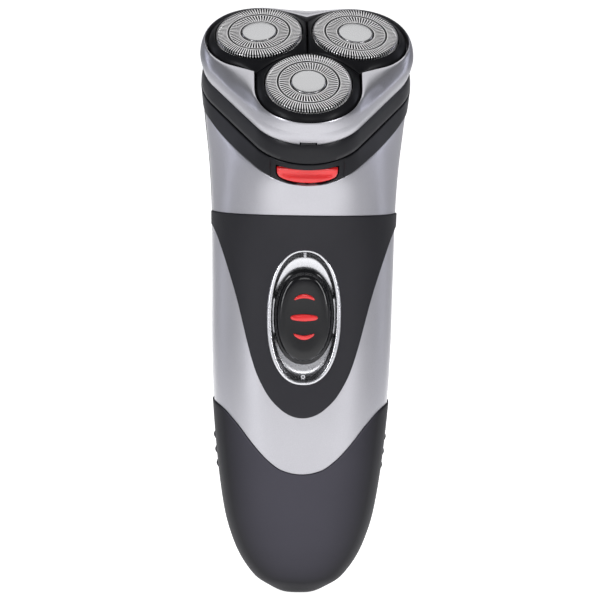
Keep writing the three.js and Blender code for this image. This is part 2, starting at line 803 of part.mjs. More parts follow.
function hairChamber() {
  const top = FRAME_LEVEL - GAP;
  const outside = headLoft([
    [PARTING_LEVEL + 0.15, 30.1, 32.6, 25.2], [-14.5, 30.0, 32.3, 25.0], [top, 29.6, 31.4, 24.5],
  ]);
  const lip = headLoft([[top - 1, 27.2, 28.9, 22.1], [-8.6, 27.2, 28.9, 22.1]]);
  const hollow = headLoft([
    [-19, 27.0, 29.4, 22.3], [-12.4, 26.6, 28.9, 21.9], [-11.9, 25.6, 27.4, 20.6],
    [-8, 25.6, 27.4, 20.6],
  ]);
  const tongue = box(-3.5, 3.5, -28.4, -27.3, LATCH_LEVEL - 1.5, -15.5);
  const root = box(-3.5, 3.5, -30.6, -27.3, -16.9, -15);
  const catchLip = box(-3.5, 3.5, -28, -26.6, LATCH_LEVEL - 1.5, LATCH_LEVEL - 0.4);
  const knuckle = bar(2.1, -5.6, 5.6, 16);
  knuckle.rotateY(Math.PI / 2);
  knuckle.translate(0, HINGE_V, PARTING_LEVEL);
  const arm = box(-5.6, 5.6, 23.4, HINGE_V, PARTING_LEVEL + 0.2, PARTING_LEVEL + 2.1);
  const bore = bar(1.4, -15, 15, 14);
  bore.rotateY(Math.PI / 2);
  bore.translate(0, HINGE_V, PARTING_LEVEL);
  const shell = cut(join(outside, lip), hollow);
  return cut(join(shell, tongue, root, catchLip, knuckle, arm), bore);
}

const SPIDER_TOP = -9.6;

// Open frame that holds the three cutters in the head, with a ring under each hub.
function retainingFrame() {
  const plate = prism(headOutline(24.8, 26.6, 19.8, 24), SPIDER_TOP - 1.3, SPIDER_TOP);
  const windows = threeTimes(cloneAt(bar(7.4, -20, 0, 16), 0, -SPINDLE_RADIUS - 0.3, 0));
  const ring = cut(bar(6.9, SPIDER_TOP - 1.3, SPIDER_TOP, 14), bar(5.3, -20, 0, 14));
  const spokes = [-1, 1].map((side) => box(
    side > 0 ? 6 : -8.4, side > 0 ? 8.4 : -6, -1.2, 1.2, SPIDER_TOP - 1.3, SPIDER_TOP,
  ));
  const rings = threeTimes(cloneAt(join(ring, ...spokes), 0, -SPINDLE_RADIUS - 0.3, 0));
  return cut(join(cut(plate, ...windows), ...rings), bar(2.2, -20, 0, 18));
}

function lockKnob() {
  const knob = turned([
    [0, -15.4], [3.4, -15.4], [5.2, -14.4], [5.2, -12.2], [4.2, SPIDER_TOP - 1.6],
    [1.8, SPIDER_TOP - 1.6], [1.8, SPIDER_TOP + 0.6], [0, SPIDER_TOP + 0.6],
  ], 18);
  const wing = box(-4.7, 4.7, -0.9, 0.9, -16.6, -14.8);
  return join(knob, wing);
}

// Floating surround of one guard; its sides stay upright although its top leans.
function petal() {
  const block = prism(petalOutline(-PETAL_GAP), -9, 3);
  block.rotateX(-OUTWARD_TILT);
  const slope = turned([
    [0, -5.4], [20, -5.4], [20, -4.6], [15, -2.7], [13.4, -1.1], [12.6, -0.7], [0, -0.7],
  ], 24);
  const seat = turned([
    [0, -9], [13, -9], [13, -3.4], [12.7, -3.4], [12.7, 2], [0, 2],
  ], 24);
  return cut(common(block, slope), seat);
}

function guard() {
  return turned([
    [0, -1.4], [4.9, -1.4], [5.4, -0.9], [11.3, -0.9], [11.5, -5.0], [12.8, -5.0], [12.8, -3.8],
    [12.3, -3.7], [12.3, -0.6], [11.8, 0], [9.0, 0], [8.8, -0.35], [8.6, 0], [5.4, 0], [5.2, -0.6],
    [0, -0.6],
  ], 24);
}

function guardCap() {
  return turned([[0, -0.4], [5.0, -0.3], [5.0, 0.05], [4.7, 0.25], [0, 0.45]], 18);
}

const CUTTER_BLADES = 9;

function cutter() {
  const hub = turned([
    [2.7, -14.5], [3.8, -14.5], [3.8, -6.4], [9.6, -6.4], [9.6, -5.3], [3, -5.3], [3, -2.4],
    [1.9, -2.4], [1.9, -10.4], [2.7, -10.4],
  ], 16);
  const plug = bar(2.3, -8.8, -2.5, 12);
  const blade = box(5.6, 9.6, -0.5, 0.5, -5.6, -1.7);
  const blades = spread(0, 2 * Math.PI, CUTTER_BLADES).slice(0, -1)
    .map((turn) => cloneAt(blade, 0, 0, 0, turn));
  return join(hub, plug, ...blades);
}

// ---- assembly -----------------------------------------------------------

function addHandle(root) {
  root.add(mesh('front_shell', frontShell(), 'silver'));
  root.add(mesh('rear_shell', rearShell(), 'black'));
  root.add(mesh('front_panel', cut(panelPatch(0, SKIN_INNER, 0), switchHole(GAP)), 'rubber'));
  root.add(mesh('lower_grip', gripPatch(0, SKIN_INNER, 0), 'rubber'));
  root.add(mesh('collar', collar(), 'black'));
  root.add(mesh('end_plate', endPlate(), 'black'));
  const socket = mesh('inlet_socket', inletSocket(), 'grey');
  socket.position.set(0, 0.3, 0);
  root.add(socket);
  const pin = mesh('inlet_pin', bar(0.45, 5.5, 15.6, 12), 'brass');
  pin.position.set(0, 0.3, 0);
  root.add(pin);
}

function addSwitch(root) {
  root.add(mesh('switch_bezel', switchBezel(), 'chrome'));
  root.add(mesh('switch_slider', switchSlider(), 'black'));
  root.add(mesh('slider_mark_upper', sliderMark(5.6, 2.9, 0.9), 'red'));
  root.add(mesh('slider_mark_middle', sliderMark(0, 4.0, 0), 'red'));
  root.add(mesh('slider_mark_lower', sliderMark(-5.6, 2.9, -0.9), 'red'));
  const lever = box(-1.1, 1.1, SWITCH_Y + 4.5, SWITCH_Y + 9.0, SWITCH_Z - 1.2, SWITCH_Z + 1.2);
  root.add(mesh('switch_lever', lever, 'white'));
  const shellBox = box(-3.4, 3.4, SWITCH_Y + 7.2, SWITCH_Y + 11.2, SWITCH_Z - 8.4, SWITCH_Z + 8.4);
  const channel = box(-1.6, 1.6, SWITCH_Y + 7, SWITCH_Y + 9.6, SWITCH_Z - 5.4, SWITCH_Z + 5.4);
  root.add(mesh('slide_switch', cut(shellBox, channel), 'steel'));
}

function addInside(root) {
  root.add(mesh('chassis', chassis(), 'grey'));
  for (const [i, x] of [-7.5, 7.5].entries()) {
    const cell = mesh(`battery_${i + 1}`, battery(), 'cell');
    cell.position.set(x, 1, 20.4);
    root.add(cell);
  }
  const board = box(-12.5, 12.5, SWITCH_Y + 11.5, SWITCH_Y + 12.7, 62, 101);
  root.add(mesh('circuit_board', board, 'board'));
}

function addDrive(root) {
  const drive = headGroup('drive');
  const can = mesh('motor_can', motorCan(), 'steel');
  can.position.z = MOTOR_TOP - 1.6;
  drive.add(can);
  const cap = mesh('motor_end_cap', motorEndCap(), 'white');
  cap.position.z = MOTOR_TOP - 1.6 - MOTOR_LENGTH;
  drive.add(cap);
  drive.add(mesh('drive_deck', driveDeck(), 'black'));
  drive.add(mesh('gear_plate', gearPlate(), 'grey'));
  drive.add(mesh('motor_pinion', motorPinion(), 'brass'));
  HEAD_TURNS.forEach((turn, i) => {
    const gear = mesh(`gear_${i + 1}`, driveGear(Math.PI / GEAR_TEETH + GEAR_PHASES[i]), 'white');
    gear.position.set(SPINDLE_RADIUS * Math.sin(turn), -SPINDLE_RADIUS * Math.cos(turn), 0);
    gear.rotation.z = turn;
    drive.add(gear);
    const screw = mesh(`deck_screw_${i + 1}`, deckScrew(), 'steel');
    screw.position.set(-POST_RADIUS * Math.sin(turn), POST_RADIUS * Math.cos(turn), 0);
    drive.add(screw);
  });
  drive.add(mesh('release_button', releaseButton(), 'red'));
  for (const [name, x] of [['button_spring_left', -7.2], ['button_spring_right', 7.2]]) {
    const spring = mesh(name, coil(0.9, 0.2, 4, 3.2), 'steel');
    spring.position.set(x, -29.5, LATCH_LEVEL);
    drive.add(spring);
  }
  const pin = bar(1.1, -9.1, 9.1, 14);
  pin.rotateY(Math.PI / 2);
  const hinge = mesh('hinge_pin', pin, 'steel');
  hinge.position.set(0, HINGE_V, PARTING_LEVEL);
  drive.add(hinge);
  root.add(drive);
}

function addHead(root) {
  const head = headGroup('head_unit');
  head.add(mesh('head_frame', headFrame(), 'silver'));
  head.add(mesh('frame_clip', frameClip(), 'black'));
  head.add(mesh('hair_chamber', hairChamber(), 'black'));
  head.add(mesh('retaining_frame', retainingFrame(), 'grey'));
  head.add(mesh('lock_knob', lockKnob(), 'black'));
  HEAD_TURNS.forEach((turn, i) => {
    const place = new THREE.Group();
    place.name = `head_${i + 1}`;
    place.position.set(HEAD_RADIUS * Math.sin(turn), -HEAD_RADIUS * Math.cos(turn), 0);
    place.rotation.z = turn;
    const lean = new THREE.Group();
    lean.name = `head_lean_${i + 1}`;
    lean.rotation.x = OUTWARD_TILT;
    lean.add(mesh(`petal_${i + 1}`, petal(), 'black'));
    lean.add(mesh(`guard_${i + 1}`, guard(), 'steel'));
    lean.add(mesh(`guard_cap_${i + 1}`, guardCap(), 'chrome'));
    lean.add(mesh(`cutter_${i + 1}`, cutter(), 'steel'));
    place.add(lean);
    head.add(place);
  });
  root.add(head);
}

function build() {
  const root = new THREE.Group();
  root.name = 'rotary_shaver';
  const centred = new THREE.Group();
  centred.name = 'shaver';
  centred.position.set(0, Y_CENTRE, -TIP);
  addHandle(centred);
  addSwitch(centred);
  addInside(centred);
  addDrive(centred);
  addHead(centred);
  root.add(centred);
  return root;
}

export default build();
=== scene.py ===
"""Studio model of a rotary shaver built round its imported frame."""

import math

import bmesh
import bpy
import numpy as np
from mathutils import Matrix, Vector


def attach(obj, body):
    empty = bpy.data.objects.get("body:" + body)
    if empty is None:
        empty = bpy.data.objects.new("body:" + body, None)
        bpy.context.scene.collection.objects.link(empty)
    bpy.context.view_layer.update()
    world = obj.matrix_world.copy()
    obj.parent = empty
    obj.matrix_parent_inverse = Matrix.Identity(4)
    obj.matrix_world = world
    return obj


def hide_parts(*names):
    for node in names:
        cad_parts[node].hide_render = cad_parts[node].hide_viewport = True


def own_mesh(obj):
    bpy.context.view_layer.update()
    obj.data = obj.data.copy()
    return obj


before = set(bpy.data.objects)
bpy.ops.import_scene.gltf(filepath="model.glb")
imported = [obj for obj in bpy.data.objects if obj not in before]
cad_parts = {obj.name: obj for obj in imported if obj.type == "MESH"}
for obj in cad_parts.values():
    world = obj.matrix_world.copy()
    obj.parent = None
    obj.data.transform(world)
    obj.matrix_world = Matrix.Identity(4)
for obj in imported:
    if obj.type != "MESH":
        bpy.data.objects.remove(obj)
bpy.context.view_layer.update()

# ---- driving dimensions, in millimetres ---------------------------------

MM = 0.001
Y_CENTRE = 5.2
TIP = -0.95                      # flat end, below the level that heights are measured from
HEAD_TILT = math.radians(30)
HEAD_Y = -12.0 + Y_CENTRE
HEAD_Z = 158.0
HEAD_RADIUS = 16.0
OUTWARD_TILT = math.radians(5)
PETAL_HALF = 15.0
PARTING_LEVEL = -17.15
FRAME_LEVEL = -11.0
HINGE_V = 28.9
SKIN_PROUD = 0.45
SIDE_PARTING = math.radians(104)
SWITCH_Y = -20.6 + Y_CENTRE
SWITCH_Z = 81.8
FACE_BEND = 0.0105               # how far the face falls back for each square millimetre of x
SHELL_WALL = 2.6                 # thickness of the hard shells and the collar
PANEL_WALL = 0.9                 # thickness of the soft panel and grip
PANEL_LIP = 0.4                  # rounding of the soft parts' edges
SHELL_LIP = 0.3                  # rounding of the black hard parts' edges
SILVER_LIP = 0.25                # rounding of the silver shell's edges
SECTION_POWER = 2.3              # squareness of the handle's oval and of the switch opening
SMOOTH_ANGLE = 35                # degrees; steeper edges stay sharp

# height, depth position, lean, half width, front depth, rear depth, head-shape blend
STATIONS = np.array([
    [TIP, 0.3, 0, 4.2, 3.2, 3.2, 0],
    [-0.5, 0.3, 0, 5.6, 4.4, 4.4, 0],
    [0.5, 0.3, 0, 7.6, 6.0, 6.0, 0],
    [3.0, 0.3, 0, 11.7, 9.4, 9.4, 0],
    [6.0, 0.2, 0, 14.4, 11.6, 11.7, 0],
    [10.0, 0.2, 0, 17.0, 13.6, 13.8, 0],
    [15.0, 0.1, 0, 19.2, 15.3, 15.6, 0],
    [22.0, 0.0, 0, 21.3, 16.9, 17.3, 0],
    [32.0, 0.0, 0, 23.0, 18.3, 18.8, 0],
    [44.0, 0.0, 0, 24.4, 19.3, 20.0, 0],
    [57.0, 0.0, 0, 25.5, 20.0, 20.9, 0],
    [70.0, 0.0, 0, 26.1, 20.4, 21.8, 0],
    [83.0, 0.0, 0, 26.3, 20.6, 23.4, 0],
    [96.0, 0.0, 1, 26.5, 21.0, 25.4, 0],
    [108.0, -0.4, 7, 26.8, 22.4, 27.6, 0.1],
    [120.5, -1.2, 15, 27.6, 25.0, 28.6, 0.35],
    [132.0, -2.2, 22.5, 28.9, 29.2, 28.4, 0.7],
    [143.0, -3.35, 30, 30.1, 32.6, 26.0, 1],
])
TOP = len(STATIONS) - 1
LIFT = Matrix.Translation((0, 0, -TIP * MM))    # stands the flat end on the floor

PANEL_EDGE = np.array([
    [0, 52.2], [2, 52.45], [4, 53.15], [5.9, 54.3], [9.4, 57.6], [11.5, 61], [13.8, 65.5], [16.4, 74.5],
    [18.9, 85], [21.4, 93], [24.3, 101.5], [26.2, 106], [40, 109],
])
GRIP_EDGE = np.array([
    [0, 35.8], [3, 36.1], [6.7, 37.3], [10.5, 40.3], [14.4, 44.5], [18.2, 49.3],
    [22.4, 53.6], [25, 55], [40, 55.2],
])
COLLAR_EDGE = np.array([
    [0, 120.5], [5, 120.95], [9.7, 122.4], [13.7, 124.4], [16.9, 126.8], [19.5, 128.7],
    [21.9, 130.65], [24.2, 132.6], [26.6, 135], [28.7, 137.9], [40, 140],
])

# ---- shader words --------------------------------------------------------


class Sock:
    """A shader socket or number that can be written in sums."""

    def __init__(self, tree, value):
        self.tree = tree
        self.value = value

    def _math(self, operation, other, swap=False):
        pair = (other, self) if swap else (self, other)
        return node(self.tree, "ShaderNodeMath", {"operation": operation}, {0: pair[0], 1: pair[1]})

    def __add__(self, other):
        return self._math("ADD", other)

    __radd__ = __add__

    def __sub__(self, other):
        return self._math("SUBTRACT", other)

    def __rsub__(self, other):
        return self._math("SUBTRACT", other, swap=True)

    def __mul__(self, other):
        return self._math("MULTIPLY", other)

    __rmul__ = __mul__

    def __truediv__(self, other):
        return self._math("DIVIDE", other)

    def __pow__(self, other):
        return self._math("POWER", other)

    def clamp(self, low=0.0, high=1.0):
        """Keeps the value between two limits."""
        return node(self.tree, "ShaderNodeClamp", {}, {"Value": self, "Min": low, "Max": high})


def node(tree, kind, settings, inputs, output=0):
    """Adds one node, sets it up and links or fills its sockets."""
    made = tree.nodes.new(kind)
    for key, value in settings.items():
        if key == "stops":
            ramp = made.color_ramp
            while len(ramp.elements) < len(value):
                ramp.elements.new(0.5)
            for element, (place, colour) in zip(ramp.elements, value):
                element.position = place
                element.color = (*colour, 1)
        else:
            setattr(made, key, value)
    for key, value in inputs.items():
        plug = made.inputs[key]
        if isinstance(value, Sock):
            value = value.value
        if isinstance(value, bpy.types.NodeSocket):
            tree.links.new(value, plug)
        elif isinstance(value, (tuple, list)) and len(value) == 3 and plug.type == "RGBA":
            plug.default_value = (*value, 1)
        else:
            plug.default_value = value
    return Sock(tree, made.outputs[output])


def finish_material(name, build, **fixed):
    """A Principled material: fixed sockets are set, varying ones come from build(tree)."""
    material = bpy.data.materials.new(name)
    material.use_nodes = True
    tree = material.node_tree
    shader = tree.nodes["Principled BSDF"]
    for key, value in fixed.items():
        plug = shader.inputs[key.replace("_", " ")]
        plug.default_value = (*value, 1) if plug.type == "RGBA" else value
    for key, value in build(tree).items():
        tree.links.new(value.value, shader.inputs[key.replace("_", " ")])
    return material


def place(tree, stretch=(1, 1, 1)):
    """Object coordinates, stretched."""
    spot = node(tree, "ShaderNodeTexCoord", {}, {}, output="Object")
    return node(tree, "ShaderNodeMapping", {}, {"Vector": spot, "Scale": stretch})


def noise(tree, scale, detail=3.0, stretch=(1, 1, 1), roughness=0.5):
    """Cloudy pattern whose features are about one metre over the scale."""
    return node(tree, "ShaderNodeTexNoise", {}, {
        "Vector": place(tree, stretch), "Scale": scale, "Detail": detail, "Roughness": roughness,
    })


def shade(tree, factor, dark, light):
    """Colour between dark and light."""
    return node(tree, "ShaderNodeMix", {"data_type": "RGBA"},
                {0: factor.clamp(), 6: dark, 7: light}, output=2)


def bump(tree, height, strength, distance):
    """Surface normal for a height pattern."""
    return node(tree, "ShaderNodeBump", {}, {
        "Height": height, "Strength": strength, "Distance": distance,
    })


def moulded(name, dark, light, rough, grain=2600.0, depth=0.00003, painted_sheen=0.0, **fixed):
    """Moulded plastic: fine spark-eroded grain, faint tone drift and handling marks.

    Painted sheen is how much paler the base colour is painted where a soft-touch surface faces the eye, a
    highlight painted into the colour.
    """
    fixed.setdefault("Specular_IOR_Level", 0.5)

    def build(tree):
        tone = noise(tree, 60.0, 4)
        grains = noise(tree, grain, 2)
        smears = noise(tree, 140.0, 5, (1, 1, 0.35))
        tone_and_painted_sheen = tone * 0.7 + grains * 0.3
        if painted_sheen:
            # painted sheen: the base colour turns paler where the surface faces the eye
            aside = node(tree, "ShaderNodeLayerWeight", {}, {"Blend": 0.5}, output="Facing")
            tone_and_painted_sheen = tone_and_painted_sheen * (1 - painted_sheen) + (1 - aside * 2.2).clamp() * painted_sheen
        return {
            "Base_Color": shade(tree, tone_and_painted_sheen, dark, light),
            "Roughness": (smears - 0.5) * 0.1 + (grains - 0.5) * 0.08 + rough,
            "Normal": bump(tree, grains, 0.25, depth),
        }
    return finish_material(name, build, **fixed)


def metallic_paint(name):
    """Silver paint: fine flakes under a thin clear coat, softly mottled."""
    def build(tree):
        flakes = node(tree, "ShaderNodeTexVoronoi", {"feature": "F1"}, {
            "Vector": place(tree), "Scale": 5200.0,
        })
        cloud = noise(tree, 35.0, 4)
        wipe = noise(tree, 220.0, 4, (1, 1, 0.2))
        return {
            "Base_Color": shade(tree, flakes * 0.55 + cloud * 0.45,
                                (0.43, 0.425, 0.455), (0.56, 0.555, 0.585)),
            "Roughness": (flakes - 0.4) * 0.10 + (wipe - 0.5) * 0.08 + 0.31,
            "Normal": bump(tree, flakes, 0.12, 0.00002),
        }
    return finish_material(name, build, Metallic=0.8, Coat_Weight=0.25, Coat_Roughness=0.2)


def worked_metal(name, dark, light, rough, stretch, scale=900.0, depth=0.000012, swing=0.22):
    """Bare metal with drawn or turned tool lines; swing is how much the roughness varies."""
    def build(tree):
        lines = noise(tree, scale, 4, stretch)
        drift = noise(tree, 80.0, 3)
        return {
            "Base_Color": shade(tree, lines * 0.6 + drift * 0.4, dark, light),
            "Roughness": (lines - 0.5) * swing + (drift - 0.5) * swing * 0.5 + rough,
            "Normal": bump(tree, lines, 0.2, depth),
        }
    return finish_material(name, build, Metallic=1.0)


def circuit_lacquer(name):
    """Green lacquer with paler copper runs under it."""
    def build(tree):
        cells = node(tree, "ShaderNodeTexVoronoi", {"feature": "DISTANCE_TO_EDGE"}, {
            "Vector": place(tree), "Scale": 420.0,
        })
        runs = node(tree, "ShaderNodeMath", {"operation": "LESS_THAN"}, {0: cells, 1: 0.06})
        cloud = noise(tree, 300.0, 3)
        return {
            "Base_Color": shade(tree, runs * 0.8 + cloud * 0.2,
                                (0.012, 0.09, 0.04), (0.05, 0.26, 0.12)),
            "Roughness": (cloud - 0.5) * 0.2 + 0.35,
            "Normal": bump(tree, runs, 0.4, 0.00004),
        }
    return finish_material(name, build)


def sleeve_wrap(name):
    """Printed shrink sleeve: a coloured wrap with a metal-coloured band."""
    def build(tree):
        spot = node(tree, "ShaderNodeTexCoord", {}, {}, output="Object")
        height = node(tree, "ShaderNodeSeparateXYZ", {}, {"Vector": spot}, output="Z")
        band = node(tree, "ShaderNodeMath", {"operation": "GREATER_THAN"}, {0: height, 1: 0.058})
        wrinkle = noise(tree, 400.0, 4, (1, 1, 3))
        return {
            "Base_Color": shade(tree, band, (0.03, 0.16, 0.30), (0.55, 0.40, 0.16)),
            "Roughness": (wrinkle - 0.5) * 0.3 + 0.3,
            "Normal": bump(tree, wrinkle, 0.3, 0.00005),
        }
    return finish_material(name, build, Metallic=0.2)


def paper_with_painted_light_pool(name):
    """White paper that glows with a painted pool of light round the set, falling off towards the room."""
    def build(tree):
        spot = node(tree, "ShaderNodeTexCoord", {}, {}, output="Object")
        x, y = (
            node(tree, "ShaderNodeSeparateXYZ", {}, {"Vector": spot}, output=axis) for axis in "XY"
        )
        ahead = node(tree, "ShaderNodeMath", {"operation": "MINIMUM"}, {0: y, 1: 0.0}) / 0.5
        beyond = node(tree, "ShaderNodeMath", {"operation": "MAXIMUM"}, {0: y, 1: 0.0})
        aside = x / (beyond * 0.07 + 0.18)
        reach = (ahead * ahead + aside * aside) ** 0.5
        # painted pool of light: the paper's own glow, bright round the set and dim further off
        painted_light_pool = ((1.5 - reach) / 0.9).clamp()
        return {
            "Base_Color": shade(tree, noise(tree, 3.0, 2), (0.78, 0.78, 0.78), (0.82, 0.82, 0.82)),
            "Emission_Color": shade(tree, painted_light_pool, (0.16, 0.16, 0.17), (1, 1, 1)),
        }
    return finish_material(name, build, Roughness=0.9, Emission_Strength=0.95)


def make_materials():
    """Every finish of the shaver, by a short key."""
    return {
        "silver": metallic_paint("silver_paint"),
        # the grip and the panel carry a painted sheen, paler where they face the eye
        "grip": moulded("soft_touch_grip", (0.008, 0.0078, 0.010), (0.068, 0.065, 0.082), 0.5,
                        3200.0, painted_sheen=0.85, Specular_IOR_Level=0.13),
        "panel": moulded("soft_touch_panel", (0.009, 0.0088, 0.0105), (0.026, 0.0252, 0.031), 0.5,
                         3200.0, painted_sheen=0.6, Specular_IOR_Level=0.22),
        "back": moulded("black_shell", (0.012, 0.0118, 0.014), (0.02, 0.0196, 0.023), 0.45, 2600.0,
                        Specular_IOR_Level=0.3),
        "satin": moulded("satin_black", (0.008, 0.008, 0.010), (0.013, 0.013, 0.016), 0.33,
                         Specular_IOR_Level=0.24),
        "petal": moulded("petal_black", (0.007, 0.007, 0.008), (0.012, 0.012, 0.014), 0.34, 1800.0,
                         0.00001, Specular_IOR_Level=0.16),
        "gloss": moulded("gloss_black", (0.006, 0.006, 0.007), (0.011, 0.011, 0.012), 0.15, 1500.0,
                         0.000008, Specular_IOR_Level=0.3, Coat_Weight=0.3, Coat_Roughness=0.1),
        "red": moulded("signal_red", (0.70, 0.015, 0.02), (0.82, 0.03, 0.03), 0.24, 1400.0,
                       0.000008, Coat_Weight=0.4, Coat_Roughness=0.1),
        "white": moulded("natural_acetal", (0.66, 0.66, 0.6), (0.78, 0.78, 0.72), 0.42),
        "grey": moulded("grey_moulding", (0.10, 0.10, 0.11), (0.15, 0.15, 0.16), 0.48),
        "chrome": worked_metal("bright_plating", (0.66, 0.66, 0.69), (0.74, 0.74, 0.76), 0.27,
                               (1, 1, 1), 500.0, 0.0000005, 0.06),
        "foil": worked_metal("foil_steel", (0.66, 0.65, 0.66), (0.80, 0.79, 0.79), 0.32,
                             (1, 1, 1), 1500.0, 0.000001, 0.1),
        "cap": worked_metal("satin_cap", (0.44, 0.44, 0.445), (0.48, 0.48, 0.485), 0.26,
                            (0.03, 1, 1), 2500.0, 0.0000003, 0.05),
        "steel": worked_metal("drawn_steel", (0.42, 0.42, 0.44), (0.6, 0.6, 0.62), 0.28, (1, 1, 0.1)),
        # the cutters' steel is painted near black, as painted shade seen through the foil slots
        "cutter": worked_metal("cutter_steel_painted_dark", (0.012, 0.012, 0.013), (0.04, 0.04, 0.042), 0.5,
                               (1, 1, 1), 900.0),
        "brass": worked_metal("turned_brass", (0.58, 0.40, 0.14), (0.76, 0.56, 0.24), 0.25, (1, 1, 8)),
        "board": circuit_lacquer("circuit_lacquer"),
        "cell": sleeve_wrap("cell_sleeve"),
    }


# ---- mesh helpers --------------------------------------------------------

SAME_POINT = 0.0005              # points closer than this are one

def finish_mesh(name, bm, material, body, replaced, sharp=SMOOTH_ANGLE):
    """Turns a bmesh in millimetres into a named piece that rides on its body."""
    bmesh.ops.remove_doubles(bm, verts=bm.verts, dist=SAME_POINT)
    bmesh.ops.recalc_face_normals(bm, faces=bm.faces)
    mesh = bpy.data.meshes.new(name)
    bm.to_mesh(mesh)
    bm.free()
    mesh.transform(LIFT @ Matrix.Scale(MM, 4))
    mesh.polygons.foreach_set("use_smooth", [True] * len(mesh.polygons))
    mesh.set_sharp_from_angle(angle=math.radians(sharp))
    mesh.materials.append(material)
    piece = bpy.data.objects.new(name, mesh)
    bpy.context.scene.collection.objects.link(piece)
    if body:
        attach(piece, body)
    if replaced:
        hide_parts(*replaced)
    return piece


def add_loops(bm, loops, ring):
    """Skins closed loops of points in order; an open run gets end faces."""
    rows = [[bm.verts.new(p) for p in loop] for loop in loops]
    count = len(rows[0])
    pairs = list(zip(rows, rows[1:]))
    if ring:
        pairs.append((rows[-1], rows[0]))
    for a, b in pairs:
        for i in range(count):
            j = (i + 1) % count
            bm.faces.new((a[i], a[j], b[j], b[i]))
    if not ring:
        bm.faces.new(list(reversed(rows[0])))
        bm.faces.new(rows[-1])


def add_block(bm, x0, x1, y0, y1, z0, z1, turn=None):
    """Box between two corners, in the frame of turn."""
    corners = [(x, y, z) for z in (z0, z1) for x, y in ((x0, y0), (x1, y0), (x1, y1), (x0, y1))]
    if turn:
        corners = [turn @ Vector(c) for c in corners]
    add_loops(bm, [corners[:4], corners[4:]], ring=False)


def add_turned(bm, profile, turn=None, sides=64):
    """Closed [radius, height] profile turned about z."""
    loops = []
    for a in np.linspace(0, 2 * math.pi, sides, endpoint=False):
        loop = [Vector((r * math.cos(a), r * math.sin(a), z)) for r, z in profile]
        loops.append([turn @ p for p in loop] if turn else loop)
    add_loops(bm, loops, ring=True)


def carve(piece, cutter):
    """Cuts one closed shape out of a piece and discards the cutter."""
    hole = piece.modifiers.new("cut", "BOOLEAN")
    hole.operation = "DIFFERENCE"
    hole.solver = "EXACT"
    hole.object = cutter
    bpy.context.view_layer.update()
    graph = bpy.context.evaluated_depsgraph_get()
    mesh = bpy.data.meshes.new_from_object(piece.evaluated_get(graph))
    piece.modifiers.clear()
    piece.data = mesh
    mesh.set_sharp_from_angle(angle=math.radians(SMOOTH_ANGLE))
    bpy.data.objects.remove(cutter)


# ---- body surface --------------------------------------------------------


def station(s):
    """Smooth blend of the stations at fractional positions."""
    s = np.clip(np.asarray(s, float), 0, TOP)
    i = np.minimum(np.floor(s).astype(int), TOP - 1)
    t = (s - i)[..., None]
    p0, p1, p2, p3 = (STATIONS[np.clip(i + k, 0, TOP)] for k in (-1, 0, 1, 2))
    return 0.5 * (
        2 * p1 + (p2 - p0) * t + (2 * p0 - 5 * p1 + 4 * p2 - p3) * t ** 2
        + (3 * p1 - p0 - 3 * p2 + p3) * t ** 3
    )


def make_section_table():
    """Unit oval and unit rounded triangle against the turn from the front."""
    turns = np.linspace(-2 * math.pi, 2 * math.pi, 2881)
    sn, cs = np.sin(turns), -np.cos(turns)
    scale = (np.abs(sn) ** SECTION_POWER + np.abs(cs) ** SECTION_POWER) ** (-1 / SECTION_POWER)
    normals = np.linspace(0, 2 * math.pi, 720, endpoint=False)
    nx, ny = np.cos(normals), np.sin(normals)
    corners = [(0, -0.4), (0.4, 0.2), (-0.4, 0.2)]
    reach = np.max([x * nx + y * ny + 0.6 for x, y in corners], axis=0)
    facing = np.outer(sn, nx) + np.outer(cs, ny)
    hull = np.min(np.where(facing > 0.2, reach / np.maximum(facing, 0.2), np.inf), axis=1)
    stretch = np.where(cs > 0, 1.25, 1.0)
    return turns, sn * scale, cs * scale, sn * hull, cs * hull * stretch


SECTION = make_section_table()


def surface(turn, s):
    """Points on the body at a turn from the front and a position along the stations."""
    turn = np.asarray(turn, float)
    ox, oy, hx, hy = (np.interp(turn, SECTION[0], column) for column in SECTION[1:])
    z, y, lean, width, front, rear, mix = np.moveaxis(station(s), -1, 0)
    u = width * (ox + (hx - ox) * mix)
    v = oy + (hy - oy) * mix
    v = v * np.where(v < 0, front, rear)
    a = np.radians(lean)
    return np.stack([u, y + Y_CENTRE + v * np.cos(a), z + v * np.sin(a)], axis=-1)


def skin(turn, s, depth):
    """Points a given depth below the body surface."""
    turn, s, depth = np.broadcast_arrays(np.asarray(turn, float), s, depth)
    along = surface(turn, np.minimum(s + 0.05, TOP)) - surface(turn, np.maximum(s - 0.05, 0))
    around = surface(turn + 0.01, s) - surface(turn - 0.01, s)
    normal = np.cross(around, along)
    normal /= np.linalg.norm(normal, axis=-1, keepdims=True)
    return surface(turn, s) - normal * depth[..., None]


def solve_height(turns, rule):
    """Position along the handle where each turn meets a height rule."""
    low, high = np.zeros(len(turns)), np.full(len(turns), float(TOP))
    for _ in range(40):
        mid = (low + high) / 2
        below = surface(turns, mid)[:, 2] < rule(surface(turns, mid))
        low, high = np.where(below, mid, low), np.where(below, high, mid)
    return (low + high) / 2


def panel_top(p):
    """Height of the panel's upper edge, a little higher at the front."""
    return 109.8 + 1.4 * np.maximum(0, -(p[:, 1] - Y_CENTRE) / 22)


def smooth_edge(table, x):
    """Edge height at a distance from the centre line, with its corners eased."""
    total = 0
    for shift, weight in ((-1.2, 0.25), (0, 0.5), (1.2, 0.25)):
        total = total + weight * np.interp(np.abs(np.abs(x) + shift), table[:, 0], table[:, 1])
    return total


def panel_foot(p):
    """Height of the panel's shield-shaped lower edge."""
    return smooth_edge(PANEL_EDGE, p[:, 0])


def grip_top(p):
    """Height of the grip's upper edge, level at the back."""
    front = smooth_edge(GRIP_EDGE, p[:, 0])
    return np.where(p[:, 1] < Y_CENTRE, front, 55.2)


